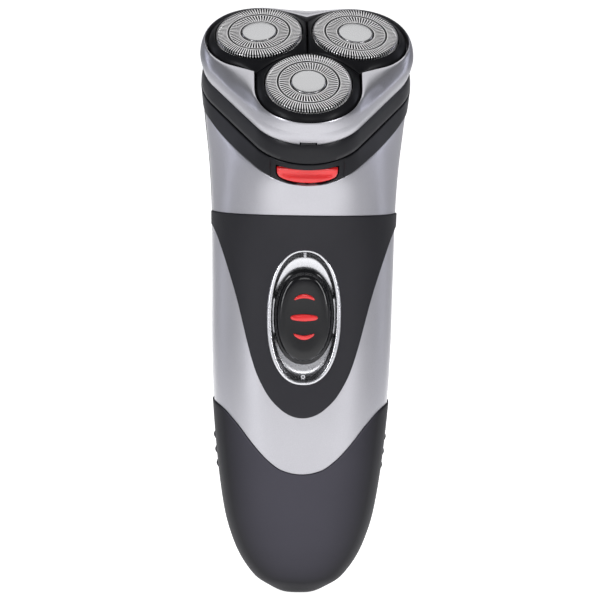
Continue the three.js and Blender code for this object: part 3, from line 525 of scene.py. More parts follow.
def collar_foot(p):
    """Height of the collar's lower edge: a wide V in front, sloping behind."""
    y = p[:, 1] - Y_CENTRE
    front = smooth_edge(COLLAR_EDGE, p[:, 0])
    back = 139.4 + 0.5 * y
    return front + (back - front) * np.clip((y + 6) / 6, 0, 1)


def strip_loops(turns, foot, top, outer, inner, lip, rows, square_foot=False):
    """Closed cross loops of a shell strip between depths outer and inner, with rounded long edges."""
    loops = []
    samples = 160
    easing = [0, 0.08, 0.3, 0.6, 1.0]
    for turn, s0, s1, face in zip(turns, foot, top, np.broadcast_to(outer, len(turns))):
        fine = np.linspace(s0, s1, samples)
        run = surface(np.full(samples, turn), fine)
        arc = np.concatenate([[0], np.cumsum(np.linalg.norm(np.diff(run, axis=0), axis=1))])
        round_off = min(lip, arc[-1] * 0.3)
        drops = [face + lip * (1 - math.sqrt(1 - (1 - e) ** 2)) for e in easing]
        distances = [e * round_off for e in easing]
        middle = np.linspace(round_off, arc[-1] - round_off, rows)[1:-1]
        d = np.array(distances + list(middle) + [arc[-1] - x for x in reversed(distances)])
        foot_drops = [face] * len(drops) if square_foot else drops
        depth = np.array(foot_drops + [face] * len(middle) + list(reversed(drops)))
        at = np.interp(d, arc, fine)
        back = np.linspace(at[-1], at[0], 6)
        at = np.concatenate([at, back])
        depth = np.concatenate([depth, np.full(6, inner)])
        loops.append(skin(np.full(len(at), turn), at, depth))
    return loops


def end_eased(low, high, count):
    """Turns from low to high, closer together near both ends."""
    middle = np.linspace(low, high, count)
    near = np.radians([0.25, 0.8])
    return np.concatenate([[low], low + near, middle[1:-1], high - near[::-1], [high]])


# ---- handle --------------------------------------------------------------


RIB_HEIGHT = 0.55
RIB_HALF_WIDTH = 1.1
RIB_LEVELS = (44.3, 40.0, 36.0)


def switch_cutter():
    """Closed shape of the switch opening through shell and panel."""
    bm = bmesh.new()
    outline = oval_points(10.3, 19.35, SECTION_POWER, 96)
    add_loops(bm, [[(x, SWITCH_Y + y, SWITCH_Z + z) for x, z in outline] for y in (-8, 14)], ring=False)
    return cutter_object(bm)


def cutter_object(bm):
    """Turns a bmesh in millimetres into a shape to cut with."""
    bmesh.ops.recalc_face_normals(bm, faces=bm.faces)
    mesh = bpy.data.meshes.new("cutter")
    bm.to_mesh(mesh)
    bm.free()
    mesh.transform(LIFT @ Matrix.Scale(MM, 4))
    made = bpy.data.objects.new("cutter", mesh)
    bpy.context.scene.collection.objects.link(made)
    return made


def oval_points(a, b, power, count):
    """Rounded oval of half width a and half height b."""
    t = np.linspace(0, 2 * math.pi, count, endpoint=False)
    c, s = np.cos(t), np.sin(t)
    x = a * np.sign(c) * np.abs(c) ** (2 / power)
    z = b * np.sign(s) * np.abs(s) ** (2 / power)
    return list(zip(x, z))


def front_shell(mats):
    """Silver front half of the handle, opened for the switch."""
    turns = end_eased(-SIDE_PARTING, SIDE_PARTING, 90)
    foot = np.full(len(turns), 1.0)
    top = solve_height(turns, lambda p: collar_foot(p) - 0.25)
    bm = bmesh.new()
    add_loops(bm, strip_loops(turns, foot, top, SKIN_PROUD, SHELL_WALL, SILVER_LIP, 90), ring=False)
    piece = finish_mesh("silver_front_shell", bm, mats["silver"], "handle", ["front_shell"])
    carve(piece, switch_cutter())


def add_grip_rib(bm, side, height):
    """Short raised bar that wraps round a side of the grip."""
    length_steps, width_steps = 26, 9
    turns = side * np.linspace(math.radians(89.8), SIDE_PARTING - 0.01, length_steps)
    swell = np.sqrt(np.sin(np.linspace(0, math.pi, length_steps))) * RIB_HEIGHT
    across = np.linspace(-RIB_HALF_WIDTH, RIB_HALF_WIDTH, width_steps)
    round_over = np.cos(np.linspace(-math.pi / 2, math.pi / 2, width_steps)) ** 0.7
    loops = []
    for turn, high in zip(turns, swell):
        here = np.full(width_steps, turn)
        s = solve_height(here, lambda p: height + across)
        depth = 0.05 - high * round_over
        outside = skin(here, s, depth)
        back = skin(here[:2], s[[-1, 0]], np.full(2, 0.5))
        loops.append(np.concatenate([outside, back]))
    add_loops(bm, loops, ring=False)


def rear_shell(mats):
    """Black back half of the handle."""
    turns = end_eased(SIDE_PARTING + 0.006, 2 * math.pi - SIDE_PARTING - 0.006, 80)
    foot = np.full(len(turns), 0.02)
    top = solve_height(turns, lambda p: collar_foot(p) - 0.25)
    bm = bmesh.new()
    add_loops(bm, strip_loops(turns, foot, top, 0, SHELL_WALL, SHELL_LIP, 90, square_foot=True), ring=False)
    piece = finish_mesh("rear_shell_skin", bm, mats["back"], "handle", ["rear_shell"])


def front_panel(mats):
    """Black shield-shaped panel round the switch."""
    turns = end_eased(-math.radians(88), math.radians(88), 150)
    foot = solve_height(turns, panel_foot)
    top = solve_height(turns, panel_top)
    bm = bmesh.new()
    add_loops(bm, strip_loops(turns, foot, top, 0, PANEL_WALL, PANEL_LIP, 60), ring=False)
    piece = finish_mesh("shield_panel", bm, mats["panel"], "handle", ["front_panel"])
    carve(piece, switch_cutter())


def lower_grip(mats):
    """Soft grip over the bottom of the handle, with three ribs on each side."""
    turns = end_eased(-SIDE_PARTING, SIDE_PARTING, 130)
    foot = np.zeros(len(turns))
    top = solve_height(turns, grip_top)
    bm = bmesh.new()
    add_loops(bm, strip_loops(turns, foot, top, 0, PANEL_WALL, PANEL_LIP, 70, square_foot=True), ring=False)
    for side in (1, -1):
        for height in RIB_LEVELS:
            add_grip_rib(bm, side, height)
    piece = finish_mesh("lower_grip_skin", bm, mats["grip"], "handle", ["lower_grip"])


HEAD = Matrix.Translation((0, HEAD_Y, HEAD_Z)) @ Matrix.Rotation(HEAD_TILT, 4, "X")
BUTTON_TOP, BUTTON_FOOT, BUTTON_HALF = -19.35, -23.6, 8.7
BUTTON_SHOULDER = 1.6            # straight part at the ends of the button
BUTTON_BEND = 0.0165             # how far its face falls back for each square millimetre of x
POCKET_EDGE = 10.65              # half width of the shallow recess round the button
LATCH_LEVEL = -20.9              # underside of the bridge that the head's catch hooks under


def button_outline(grow, count=40):
    """Boat-shaped outline of the button, grown by a clearance."""
    points = [(-BUTTON_HALF - grow, BUTTON_TOP + grow), (BUTTON_HALF + grow, BUTTON_TOP + grow)]
    shoulder = BUTTON_TOP - BUTTON_SHOULDER
    for t in np.linspace(0, 1, count):
        x = (BUTTON_HALF + grow) * (1 - 2 * t)
        sag = math.sqrt(max(0, 1 - (1 - 2 * t) ** 2)) ** 0.8
        points.append((x, shoulder - (shoulder - BUTTON_FOOT) * sag - grow))
    return points


def add_head_bar(bm, radius, x0, x1, v, w, sides=28, ease=0.3):
    """Round bar across the head with eased ends."""
    loops = []
    for x in (x0, x0 + ease, x1 - ease, x1):
        r = radius - (ease if x in (x0, x1) else 0)
        loops.append([
            HEAD @ Vector((x, v + r * math.cos(a), w + r * math.sin(a)))
            for a in np.linspace(0, 2 * math.pi, sides, endpoint=False)
        ])
    add_loops(bm, loops, ring=False)


def collar(mats):
    """Black neck band with the button's pocket and two hinge knuckles."""
    turns = np.linspace(0, 2 * math.pi, 180, endpoint=False)
    pocket_edge = np.interp(POCKET_EDGE, surface(turns[:45], TOP - 0.6)[:, 0], turns[:45])
    step = math.radians(0.35)
    edges = [pocket_edge - step, pocket_edge + step]
    turns = np.sort(np.concatenate([turns, edges, [2 * math.pi - e for e in edges]]))
    inside = np.minimum(turns, 2 * math.pi - turns) < pocket_edge
    foot = solve_height(turns, collar_foot)
    top = np.full(len(turns), TOP - 0.015)
    bm = bmesh.new()
    face = np.where(inside, 0.4, 0)
    add_loops(bm, strip_loops(turns, foot, top, face, SHELL_WALL, SHELL_LIP, 14), ring=True)
    for side in (-1, 1):
        x = sorted((side * 6.2, side * 9.2))
        add_head_bar(bm, 2.3, x[0], x[1], HINGE_V, PARTING_LEVEL)
        add_block(bm, x[0] + 0.05, x[1] - 0.05, 23.8, HINGE_V,
                  PARTING_LEVEL - 2.25, PARTING_LEVEL - 0.5, HEAD)
    piece = finish_mesh("neck_collar", bm, mats["satin"], "handle", ["collar"])
    pocket = bmesh.new()
    outline = button_outline(0.35)
    ends = (-40, -24)
    add_loops(pocket, [[HEAD @ Vector((x, v, w)) for x, w in outline] for v in ends], ring=False)
    carve(piece, cutter_object(pocket))


# ---- switch --------------------------------------------------------------


def bent_oval(a, b, power, depth, count=120):
    """Oval loop at a depth behind the face line, bent to the round of the handle."""
    return [(x, SWITCH_Y + depth + FACE_BEND * x * x, SWITCH_Z + z)
            for x, z in oval_points(a, b, power, count)]


def switch_bezel(mats):
    """Bright oval with a rolled rim and a dished floor."""
    layers = [
        (10.65, 19.7, 4.4), (10.65, 19.7, 0.3), (10.62, 19.67, -0.25), (10.42, 19.5, -0.5),
        (10.0, 19.18, -0.6), (9.6, 18.92, -0.52), (9.32, 18.7, -0.25), (9.2, 18.45, 0.05),
        (9.14, 18.2, 0.45), (9.1, 17.9, 0.9), (9.07, 17.6, 1.3), (9.05, 17.3, 1.62),
        (9.03, 16.9, 1.9), (9.0, 16.3, 2.08), (8.95, 15.4, 2.2), (8.0, 12.9, 2.35),
        (3.0, 7.4, 2.45), (3.0, 7.4, 4.4),
    ]
    bm = bmesh.new()
    add_loops(bm, [bent_oval(a, b, SECTION_POWER, depth) for a, b, depth in layers], ring=True)
    for mark in switch_signs():
        add_loops(bm, mark, ring=False)
    piece = finish_mesh("bright_oval", bm, mats["chrome"], "handle", ["switch_bezel"], sharp=50)


def switch_signs():
    """Raised bar above and raised ring below the slider, off and on."""
    levels = (SWITCH_Y + 0.65, SWITCH_Y + 1.8)
    ring_height, ring_inner, ring_outer, ring_parts = -17.4, 0.3, 0.6, 20
    outlines = [[(-0.35, 16.9), (0.35, 16.9), (0.35, 18.0), (-0.35, 18.0)]]
    for k in range(ring_parts):
        a0, a1 = (2 * math.pi * (k + e) / ring_parts for e in (0, 1.02))
        corners = ((ring_inner, a0), (ring_outer, a0), (ring_outer, a1), (ring_inner, a1))
        outlines.append([(r * math.cos(a), ring_height + r * math.sin(a)) for r, a in corners])
    return [[[(x, y, SWITCH_Z + z) for x, z in outline] for y in levels] for outline in outlines]


def switch_slider(mats):
    """Glossy thumb slide: a flange, a step and a raised pad with a shallow thumb dip."""
    layers = [
        (8.45, 13.65, 1.62), (8.62, 13.8, 1.5), (8.7, 13.9, 1.3), (8.68, 13.88, 1.05),
        (8.5, 13.7, 0.8),
        (8.15, 13.3, 0.62), (7.85, 12.9, 0.5), (7.7, 12.65, 0.25), (7.62, 12.5, -0.4),
        (7.5, 12.35, -0.85), (7.2, 12.0, -1.2), (6.7, 11.45, -1.42), (6.1, 10.75, -1.5),
        (5.2, 9.4, -1.5), (4.0, 7.4, -1.42), (2.2, 4.4, -1.34), (0.8, 1.6, -1.32),
    ]
    bm = bmesh.new()
    add_loops(bm, [bent_oval(a, b, 2.2, depth) for a, b, depth in layers], ring=False)
    add_block(bm, -2.4, 2.4, SWITCH_Y + 1.5, SWITCH_Y + 6.2, SWITCH_Z - 3.2, SWITCH_Z + 3.2)
    piece = finish_mesh("thumb_slide", bm, mats["gloss"], "switch", ["switch_slider"], sharp=60)


def slider_mark(mats, name, z, half, bow, thickness):
    """Raised red bar that tapers to its ends, straight or bowed."""
    bm = bmesh.new()
    loops = []
    for shrink, lift in ((0, 0.3), (0, -0.15), (0.12, -0.32), (0.4, -0.4)):
        loop = []
        for side in (1, -1):
            for t in np.linspace(-1, 1, 25) * side:
                thick = thickness * (1 - shrink / 0.9) * math.sqrt(max(0, 1 - t * t)) ** 0.8
                x = (half - shrink) * t
                y = SWITCH_Y - 1.45 + lift + FACE_BEND * x * x
                loop.append((x, y, SWITCH_Z + z + bow * (1 - t * t) + side * thick))
        loops.append(loop)
    add_loops(bm, loops, ring=False)
    piece = finish_mesh(f"red_{name}", bm, mats["red"], "switch", [name], sharp=60)


def release_button(mats):
    """Boat-shaped push button with its two latch arms."""
    bm = bmesh.new()
    outline = button_outline(0)
    layers = [
        (-30.3, 0, False), (-31.9, 0, True), (-32.35, 0.06, True), (-32.65, 0.22, True),
        (-32.82, 0.5, True), (-32.88, 0.9, True), (-32.7, 1.5, True), (-32.6, 1.8, True),
    ]
    middle = BUTTON_TOP - 1.9
    loops = []
    for v, shrink, bent in layers:
        loop = []
        for x, w in outline:
            nx = x * (1 - shrink / BUTTON_HALF)
            nw = w + (middle - w) * shrink / 2.6
            loop.append(HEAD @ Vector((nx, v + (BUTTON_BEND * x * x if bent else 0), nw)))
        loops.append(loop)
    add_loops(bm, loops, ring=False)
    for x in (-5.4, 4.2):
        add_block(bm, x, x + 1.2, -30.6, -25.6, LATCH_LEVEL, LATCH_LEVEL + 1.2, HEAD)
    add_block(bm, -5.4, 5.4, -27.1, -25.6, LATCH_LEVEL, LATCH_LEVEL + 1.2, HEAD)
    piece = finish_mesh("red_release_button", bm, mats["red"], "release_button",
                        ["release_button"], sharp=50)


SPRING_COIL = 0.9
SPRING_WIRE = 0.2
SPRING_TURNS = 4
SPRING_LENGTH = 3.2
SPRING_FRONT = -29.5


def button_spring(mats, name, x):
    """Coil behind the release button, built at one fixed length."""
    steps = 24 * SPRING_TURNS
    loops = []
    for k in range(steps + 1):
        a = 2 * math.pi * SPRING_TURNS * k / steps
        outward = Vector((math.cos(a), 0, math.sin(a)))
        middle = Vector((x, SPRING_FRONT + SPRING_LENGTH * k / steps, LATCH_LEVEL))
        middle += outward * SPRING_COIL
        loops.append([
            HEAD @ (middle + (outward * math.cos(b) + Vector((0, math.sin(b), 0))) * SPRING_WIRE)
            for b in np.linspace(0, 2 * math.pi, 10, endpoint=False)
        ])
    bm = bmesh.new()
    add_loops(bm, loops, ring=False)
    piece = finish_mesh(f"coil_{name}", bm, mats["steel"], "handle", [name], sharp=60)
    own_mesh(piece)


# ---- head unit -----------------------------------------------------------


def head_outline(turns, width, front, rear):
    """Rounded triangle of the head."""
    hx, hy = (np.interp(turns, SECTION[0], SECTION[k]) for k in (3, 4))
    return hx * width, hy * np.where(hy < 0, front, rear)


def opening_reach(turns, half):
    """Distance from the head's centre to the edge of the three petals."""
    local = (turns + math.pi / 3) % (2 * math.pi / 3) - math.pi / 3
    side = half / np.maximum(np.abs(np.sin(local)), 1e-6)
    inside = np.maximum(half ** 2 - (HEAD_RADIUS * np.sin(local)) ** 2, 0)
    nose = HEAD_RADIUS * np.cos(local) + np.sqrt(inside)
    return np.where(np.abs(np.tan(local)) > half / HEAD_RADIUS, side, nose)


def outline_reach(bearing, width, front, rear):
    """Distance from the head's centre to its outline, by bearing from the front."""
    turns = np.linspace(-2 * math.pi, 2 * math.pi, 2881)
    x, y = head_outline(turns, width, front, rear)
    seen = np.unwrap(np.arctan2(x, -y))
    seen -= seen[1440]
    return np.interp(bearing, seen, np.hypot(x, y))


def polar_ring(bearing, radius, level):
    """Points round the head's centre, at a bearing from the front."""
    level = np.broadcast_to(level, radius.shape)
    return np.stack([radius * np.sin(bearing), -radius * np.cos(bearing), level], axis=-1)


CROWN_DROP = 3.6                 # height of the rolled shoulder
CROWN_SLOPE = 0.11               # fall of the deck for each millimetre outwards


def crown_deck(radius):
    """Height of the crown beside the petals against the distance from the centre."""
    return np.interp(radius, [0, 17, 20, 24, 28, 33], [-1.1, -1.5, -1.9, -2.5, -2.9, -3.2])


def head_frame(mats):
    """Silver crown: sloped deck round the petals, rolled shoulder and outer wall."""
    bearing = np.linspace(0, 2 * math.pi, 420, endpoint=False)
    reach = opening_reach(bearing, PETAL_HALF + 0.35)
    outer = outline_reach(bearing, 30.6, 31.95, 25.2)
    outer = np.maximum(outer, reach + 0.7)
    deck = crown_deck(reach)
    rows = [
        polar_ring(bearing, reach, -8.0),
        polar_ring(bearing, reach, deck - 0.4),
        polar_ring(bearing, reach + 0.1, deck - 0.1),
    ]
    for share in np.sin(np.radians([6, 14, 24, 34, 44, 54, 63, 71, 78, 84, 90])):
        radius = reach + 0.1 + (outer - reach - 0.1) * share
        fall = CROWN_DROP * (1 - math.sqrt(max(0, 1 - share ** 2)))
        rows.append(polar_ring(bearing, radius, deck - CROWN_SLOPE * (radius - reach) - fall))
    low_wall = [
        (-7.6, 30.5, 32.3, 25.1), (-9.0, 30.2, 32.0, 24.9), (-10.2, 29.8, 31.6, 24.6),
        (-10.8, 29.6, 31.4, 24.5),
        (FRAME_LEVEL, 29.4, 31.2, 24.3), (FRAME_LEVEL, 28.0, 29.8, 22.9), (-7.8, 28.0, 29.8, 22.9),
    ]
    for w, width, front, rear in low_wall:
        rows.append(polar_ring(bearing, outline_reach(bearing, width, front, rear), w))
    loops = np.stack(rows, axis=1)
    bm = bmesh.new()
    add_loops(bm, [[HEAD @ Vector(p) for p in loop] for loop in loops], ring=True)
    piece = finish_mesh("silver_crown", bm, mats["silver"], "head", ["head_frame"], sharp=40)
    notch = bmesh.new()
    add_block(notch, -2.5, 2.5, -36, -29.6, -12.5, FRAME_LEVEL + 1.15, HEAD)
    carve(piece, cutter_object(notch))


def hair_chamber(mats):
    """Black ring under the crown, with its catch and the middle hinge knuckle."""
    turns = np.linspace(0, 2 * math.pi, 240, endpoint=False)
    top = FRAME_LEVEL - 0.2
    base = PARTING_LEVEL + 0.15
    levels = [
        (base, 29.9, 32.2, 25.8), (base + 0.25, 30.05, 32.4, 25.95), (-15.5, 30.0, 32.3, 25.7),
        (-13, 29.75, 31.9, 25.1), (-11.7, 29.5, 31.5, 24.7), (top, 29.2, 31.1, 24.3),
        (top, 27.2, 28.9, 22.1), (-8.6, 27.2, 28.9, 22.1), (-8.6, 25.6, 27.4, 20.6),
        (-11.9, 25.6, 27.4, 20.6), (-12.6, 26.6, 28.9, 22.0), (base, 27.0, 29.4, 23.0),
    ]
    rows = []
    for w, width, front, rear in levels:
        x, y = head_outline(turns, width, front, rear)
        rows.append(np.stack([x, y, np.full(240, w)], axis=-1))
    bm = bmesh.new()
    add_loops(bm, [[HEAD @ Vector(p) for p in loop] for loop in np.stack(rows, axis=1)], ring=True)
    add_block(bm, -3.5, 3.5, -28.4, -27.3, LATCH_LEVEL - 1.5, -15.5, HEAD)
    add_block(bm, -3.5, 3.5, -30.6, -27.3, -16.9, -15, HEAD)
    add_block(bm, -3.5, 3.5, -28, -26.6, LATCH_LEVEL - 1.5, LATCH_LEVEL - 0.4, HEAD)
    add_head_bar(bm, 2.1, -5.6, 5.6, HINGE_V, PARTING_LEVEL)
    add_block(bm, -5.5, 5.5, 24.0, HINGE_V, PARTING_LEVEL + 0.25, PARTING_LEVEL + 2.05, HEAD)
    piece = finish_mesh("black_chamber", bm, mats["satin"], "head", ["hair_chamber"], sharp=40)


def seat_matrix(index):
    """Place of a cutting head: its own centre and outward lean."""
    turn = (0, math.radians(120), math.radians(-120))[index]
    return (HEAD @ Matrix.Rotation(turn, 4, "Z") @ Matrix.Translation((0, -HEAD_RADIUS, 0))
            @ Matrix.Rotation(OUTWARD_TILT, 4, "X"))


def petal_reach(turns, offset):
    """Distance from a guard's centre to its petal's edge, measured in the shaving plane."""
    half = PETAL_HALF + offset
    dx, dy = np.sin(turns), -np.cos(turns)
    side = half / np.maximum(np.abs(dx), 1e-6)
    nose = np.full(len(turns), half)
    seam_x, seam_y = math.cos(math.radians(60)), math.sin(math.radians(60))
    towards_seam = np.abs(dx) * seam_x + dy * seam_y
    seam = (HEAD_RADIUS + offset * 1.155) * seam_y / np.maximum(towards_seam, 1e-6)
    behind = np.minimum(side, np.where(towards_seam > 0, seam, np.inf))
    return np.where(dy < 0, np.minimum(side, nose), behind)


PETAL_STEPS = 288
PETAL_HOLE = 12.6                # radius of the hole round the foil
PETAL_FLOOR = -5.4


def petal_crown(radius):
    """Height of a petal's top against the distance from its foil's centre."""
    return np.interp(radius, [12.5, 13.0, 13.7, 15.0, 18.0], [-0.75, -0.8, -1.25, -2.35, -4.2])


def petal(mats, index):
    """Floating surround of one guard, rounded over at its edge."""
    turns = np.linspace(0, 2 * math.pi, PETAL_STEPS, endpoint=False)
    edge = petal_reach(turns, -0.25)
    hole = np.full(PETAL_STEPS, PETAL_HOLE)
    seat = np.full(PETAL_STEPS, 13.0)
    flat_start, flat_end = hole + 0.3, edge - 0.5
    rings = [(hole, -3.4), (hole, -0.95), (hole + 0.1, -0.8), (flat_start, -0.74)]
    for share in (0.25, 0.5, 0.75, 1):
        radius = flat_start + (flat_end - flat_start) * share
        rings.append((radius, petal_crown(radius)))
    rings += [(edge - 0.2, petal_crown(edge - 0.2) - 0.1), (edge - 0.04, petal_crown(edge) - 0.3)]
    rings += [(edge, petal_crown(edge) - 0.7), (edge, PETAL_FLOOR), (seat, PETAL_FLOOR), (seat, -3.4)]
    loops = np.stack([polar_ring(turns, radius, level) for radius, level in rings], axis=1)
    # the side wall leans back, so that it stays square to the shaving plane
    wall = slice(10, 12)
    loops[:, wall, 1] += loops[:, wall, 2] * math.tan(OUTWARD_TILT)
    place_here = seat_matrix(index)
    bm = bmesh.new()
    add_loops(bm, [[place_here @ Vector(p) for p in loop] for loop in loops], ring=True)
    piece = finish_mesh(f"black_petal_{index + 1}", bm, mats["petal"], f"petal_{index + 1}",
                        [f"petal_{index + 1}"], sharp=40)


def add_slots(bm, matrix, count, path, width, slant, thick):
    """Ring of thin bars with open slots between them, following a radial path."""
    for k in range(count):
        mid = 2 * math.pi * k / count
        loops = []
        for r, z in path:
            lean = slant * (r - path[0][0])
            half = width * math.pi / count
            inner = r - (thick if z < -0.3 else 0)
            drop = thick if z >= -0.3 else 0
            loop = []
            corners = ((r, z, -1), (r, z, 1), (inner, z - drop, 1), (inner, z - drop, -1))
            for radius, level, side in corners:
                a = mid + lean + side * half
                loop.append(matrix @ Vector((radius * math.sin(a), -radius * math.cos(a), level)))
            loops.append(loop)
        add_loops(bm, loops, ring=False)


OUTER_BARS = 96
INNER_BARS = 60
FOIL_THICKNESS = 0.12


def guard(mats, index):
    """Slotted shaving foil: two slotted tracks, plain edges, a skirt and black rings that are painted shade
    in the groove and round the cap.
    """
    matrix = seat_matrix(index)
    body = f"guard_{index + 1}"
    bm = bmesh.new()
    rim = [(9.25, 0), (10.6, 0.0), (11.75, -0.03), (12.1, -0.14), (12.27, -0.4), (12.3, -0.8),
           (12.3, -1.5)]
    add_slots(bm, matrix, OUTER_BARS, rim, 0.4, 0.014, FOIL_THICKNESS)
    add_slots(bm, matrix, INNER_BARS, [(5.5, -0.02), (7.0, -0.02), (8.45, -0.02)], 0.38, 0.02,
              FOIL_THICKNESS)
    for inner, outer, top in ((8.35, 8.5, -0.02), (9.12, 9.3, 0)):
        add_turned(bm, [(inner, top), (inner, -0.3), (outer, -0.3), (outer, top)], matrix, 96)
    skirt = [(12.3, -1.4), (12.3, -3.6), (12.8, -3.9), (12.8, -5.0), (11.6, -5.0), (11.6, -3.9),
             (11.9, -3.6), (11.9, -1.4)]
    add_turned(bm, skirt, matrix, 96)
    add_turned(bm, [(5.42, -0.02), (5.42, -0.5), (5.62, -0.5), (5.62, -0.02)], matrix, 72)
    piece = finish_mesh(f"slotted_foil_{index + 1}", bm, mats["foil"], body, [body], sharp=40)
    # black rings under the groove and the cap's edge, put there as painted shade
    painted_shade_rings = bmesh.new()
    for inner, outer, sides in ((8.48, 9.14, 96), (4.6, 5.45, 72)):
        add_turned(painted_shade_rings, [(inner, -0.25), (inner, -0.45), (outer, -0.45), (outer, -0.25)], matrix, sides)
    piece = finish_mesh(f"foil_painted_shade_rings_{index + 1}", painted_shade_rings, mats["petal"], body, None, sharp=40)


def guard_cap(mats, index):
    """Bright disc in the middle of a foil, slightly crowned."""
    bm = bmesh.new()
    profile = [(5.0, -0.4), (5.0, 0.0), (4.92, 0.12), (4.7, 0.22), (4.3, 0.3), (3.4, 0.38),
               (2.0, 0.43), (0.6, 0.45)]
    bearings = np.linspace(0, 2 * math.pi, 72, endpoint=False)
    loops = [[seat_matrix(index) @ Vector((r * math.cos(a), r * math.sin(a), z)) for a in bearings]
             for r, z in profile]
    add_loops(bm, loops, ring=False)
    piece = finish_mesh(f"foil_cap_{index + 1}", bm, mats["cap"], f"guard_{index + 1}",
                        [f"guard_cap_{index + 1}"], sharp=60)


# ---- frame pieces that stay ----------------------------------------------


def give(names, material, bevel=0.0):
    """Gives carried-over pieces their finish and eased edges."""
    for name in names:
        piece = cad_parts[name]
        piece.data.materials.clear()
        piece.data.materials.append(material)
        if bevel:
            ease = piece.modifiers.new("eased_edges", "BEVEL")
            ease.width = bevel * MM
            ease.segments = 2
            ease.limit_method = "ANGLE"
            ease.angle_limit = math.radians(40)


def dress_frame(mats):
    """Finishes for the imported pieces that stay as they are."""
    give(["cutter_1", "cutter_2", "cutter_3"], mats["cutter"])
    give(["frame_clip", "lock_knob", "drive_deck", "retaining_frame"], mats["satin"], 0.15)
    give(["gear_plate", "chassis", "inlet_socket"], mats["grey"], 0.12)
    give(["gear_1", "gear_2", "gear_3", "motor_end_cap", "switch_lever"], mats["white"], 0.08)
    give(["motor_can", "slide_switch", "deck_screw_1", "deck_screw_2", "deck_screw_3", "hinge_pin"],
         mats["steel"], 0.1)
    give(["motor_pinion", "inlet_pin"], mats["brass"], 0.05)
    give(["battery_1", "battery_2"], mats["cell"], 0.1)
    give(["circuit_board"], mats["board"])
    give(["end_plate"], mats["satin"], 0.15)


# ---- studio --------------------------------------------------------------


SWEEP_DEPTH = 4.2
SWEEP_RISE = 3.4
SWEEP_ROUND = 0.8
FLOOR_GAP = 0.0002               # keeps the floor just clear of the flat end


def paper_sweep():
    """White paper that runs over the floor and up behind."""
    floor_bm = bmesh.new()
    start = SWEEP_DEPTH - SWEEP_ROUND
    profile = [(-SWEEP_DEPTH, 0.0), (start, 0.0)]
    for a in np.linspace(0.1, math.pi / 2, 14):
        profile.append((start + SWEEP_ROUND * math.sin(a), SWEEP_ROUND - SWEEP_ROUND * math.cos(a)))
    profile.append((SWEEP_DEPTH, SWEEP_RISE))
    rows = [[floor_bm.verts.new((x, y, z - FLOOR_GAP)) for y, z in profile]
            for x in (-SWEEP_DEPTH, SWEEP_DEPTH)]
    for i in range(len(profile) - 1):
        floor_bm.faces.new((rows[0][i], rows[0][i + 1], rows[1][i + 1], rows[1][i]))
    mesh = bpy.data.meshes.new("studio_sweep")
    floor_bm.to_mesh(mesh)
    floor_bm.free()
    mesh.polygons.foreach_set("use_smooth", [True] * len(mesh.polygons))
    sweep = bpy.data.objects.new("studio_sweep", mesh)
    bpy.context.scene.collection.objects.link(sweep)
    mesh.materials.append(paper_with_painted_light_pool("white_paper_painted_light_pool"))


def panel_light(name, spot, aim, size, power, tint=(1, 1, 1)):
    """Soft rectangular light that the camera doesn't see."""
    lamp = bpy.data.lights.new(name, "AREA")
    lamp.shape = "RECTANGLE"
    lamp.size, lamp.size_y = size
    lamp.energy = power
    lamp.color = tint
    made = bpy.data.objects.new(name, lamp)
    made.location = spot
    made.rotation_euler = (Vector(aim) - Vector(spot)).to_track_quat("-Z", "Y").to_euler()
    made.visible_camera = False
    bpy.context.scene.collection.objects.link(made)


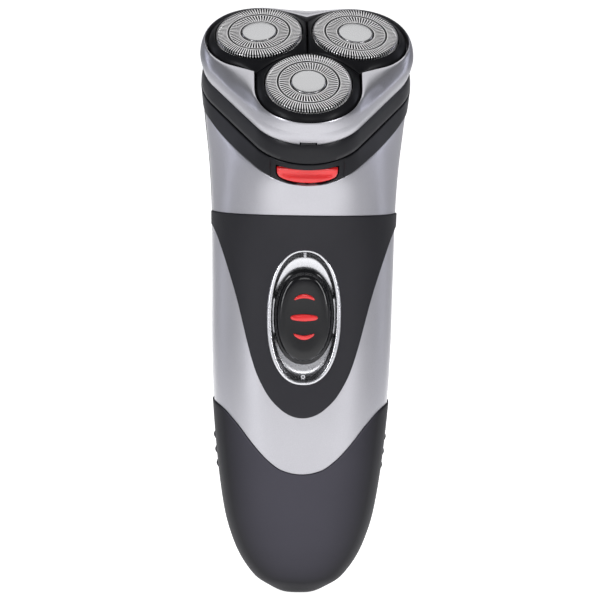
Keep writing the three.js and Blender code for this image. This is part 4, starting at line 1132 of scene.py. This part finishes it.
def studio():
    """Paper, faint room light and six soft boxes."""
    paper_sweep()
    world = bpy.data.worlds.new("studio")
    bpy.context.scene.world = world
    world.use_nodes = True
    background = world.node_tree.nodes["Background"]
    background.inputs["Color"].default_value = (0.9, 0.93, 1, 1)
    background.inputs["Strength"].default_value = 0.1

    cool, rim, handle = (0.97, 0.98, 1), (0.84, 0.86, 1), (0, 0, 0.08)
    panel_light("front_left_box", (-1.05, -1.05, 0.3), handle, (0.2, 1.1), 9.0, cool)
    panel_light("front_right_box", (1.0, -1.1, 0.3), handle, (0.2, 1.1), 7.5, (0.99, 0.985, 1))
    panel_light("front_fill", (0.05, -1.9, 0.75), handle, (0.7, 0.5), 3.2)
    panel_light("left_rim", (-1.0, 0.35, 0.45), (0, 0, 0.1), (0.14, 1.0), 1.2, rim)
    panel_light("right_rim", (1.0, 0.35, 0.45), (0, 0, 0.1), (0.14, 1.0), 1.2, rim)
    panel_light("top_box", (0, 0.35, 1.35), (0, 0.1, 0.12), (1.2, 1.3), 6.0)
    bpy.context.scene.view_settings.view_transform = "Standard"


CAMERA_RISE = math.radians(7.7)
CAMERA_TURN = math.radians(1.63)
CAMERA_ROLL = math.radians(0.97)
CAMERA_DISTANCE = 2.6
FRAME_WIDTH = 0.1729             # width of the view at the handle
CAMERA_AIM = (-0.00067, 5.2 * MM, 0.08488)


SENSOR_WIDTH = 36


def camera():
    """Long lens in front of the shaver and a little above it."""
    lens = bpy.data.cameras.new("camera")
    lens.sensor_width = SENSOR_WIDTH
    lens.lens = SENSOR_WIDTH * CAMERA_DISTANCE / FRAME_WIDTH
    made = bpy.data.objects.new("camera", lens)
    bpy.context.scene.collection.objects.link(made)
    back = Vector((
        -math.sin(CAMERA_TURN) * math.cos(CAMERA_RISE),
        -math.cos(CAMERA_TURN) * math.cos(CAMERA_RISE),
        math.sin(CAMERA_RISE),
    ))
    made.location = Vector(CAMERA_AIM) + back * CAMERA_DISTANCE
    look = (-back).to_track_quat("-Z", "Y").to_matrix().to_4x4()
    made.rotation_euler = (look @ Matrix.Rotation(CAMERA_ROLL, 4, "Z")).to_euler()
    bpy.context.scene.camera = made


# ---- assembly ------------------------------------------------------------

camera()
MATS = make_materials()
front_shell(MATS)
rear_shell(MATS)
front_panel(MATS)
lower_grip(MATS)
collar(MATS)
switch_bezel(MATS)
switch_slider(MATS)
slider_mark(MATS, "slider_mark_upper", 5.2, 3.0, 1.05, 0.62)
slider_mark(MATS, "slider_mark_middle", 0, 4.0, 0, 1.0)
slider_mark(MATS, "slider_mark_lower", -4.7, 3.0, -1.05, 0.62)
release_button(MATS)
button_spring(MATS, "button_spring_left", -7.2)
button_spring(MATS, "button_spring_right", 7.2)
head_frame(MATS)
hair_chamber(MATS)
for seat in range(3):
    petal(MATS, seat)
    guard(MATS, seat)
    guard_cap(MATS, seat)
dress_frame(MATS)
studio()
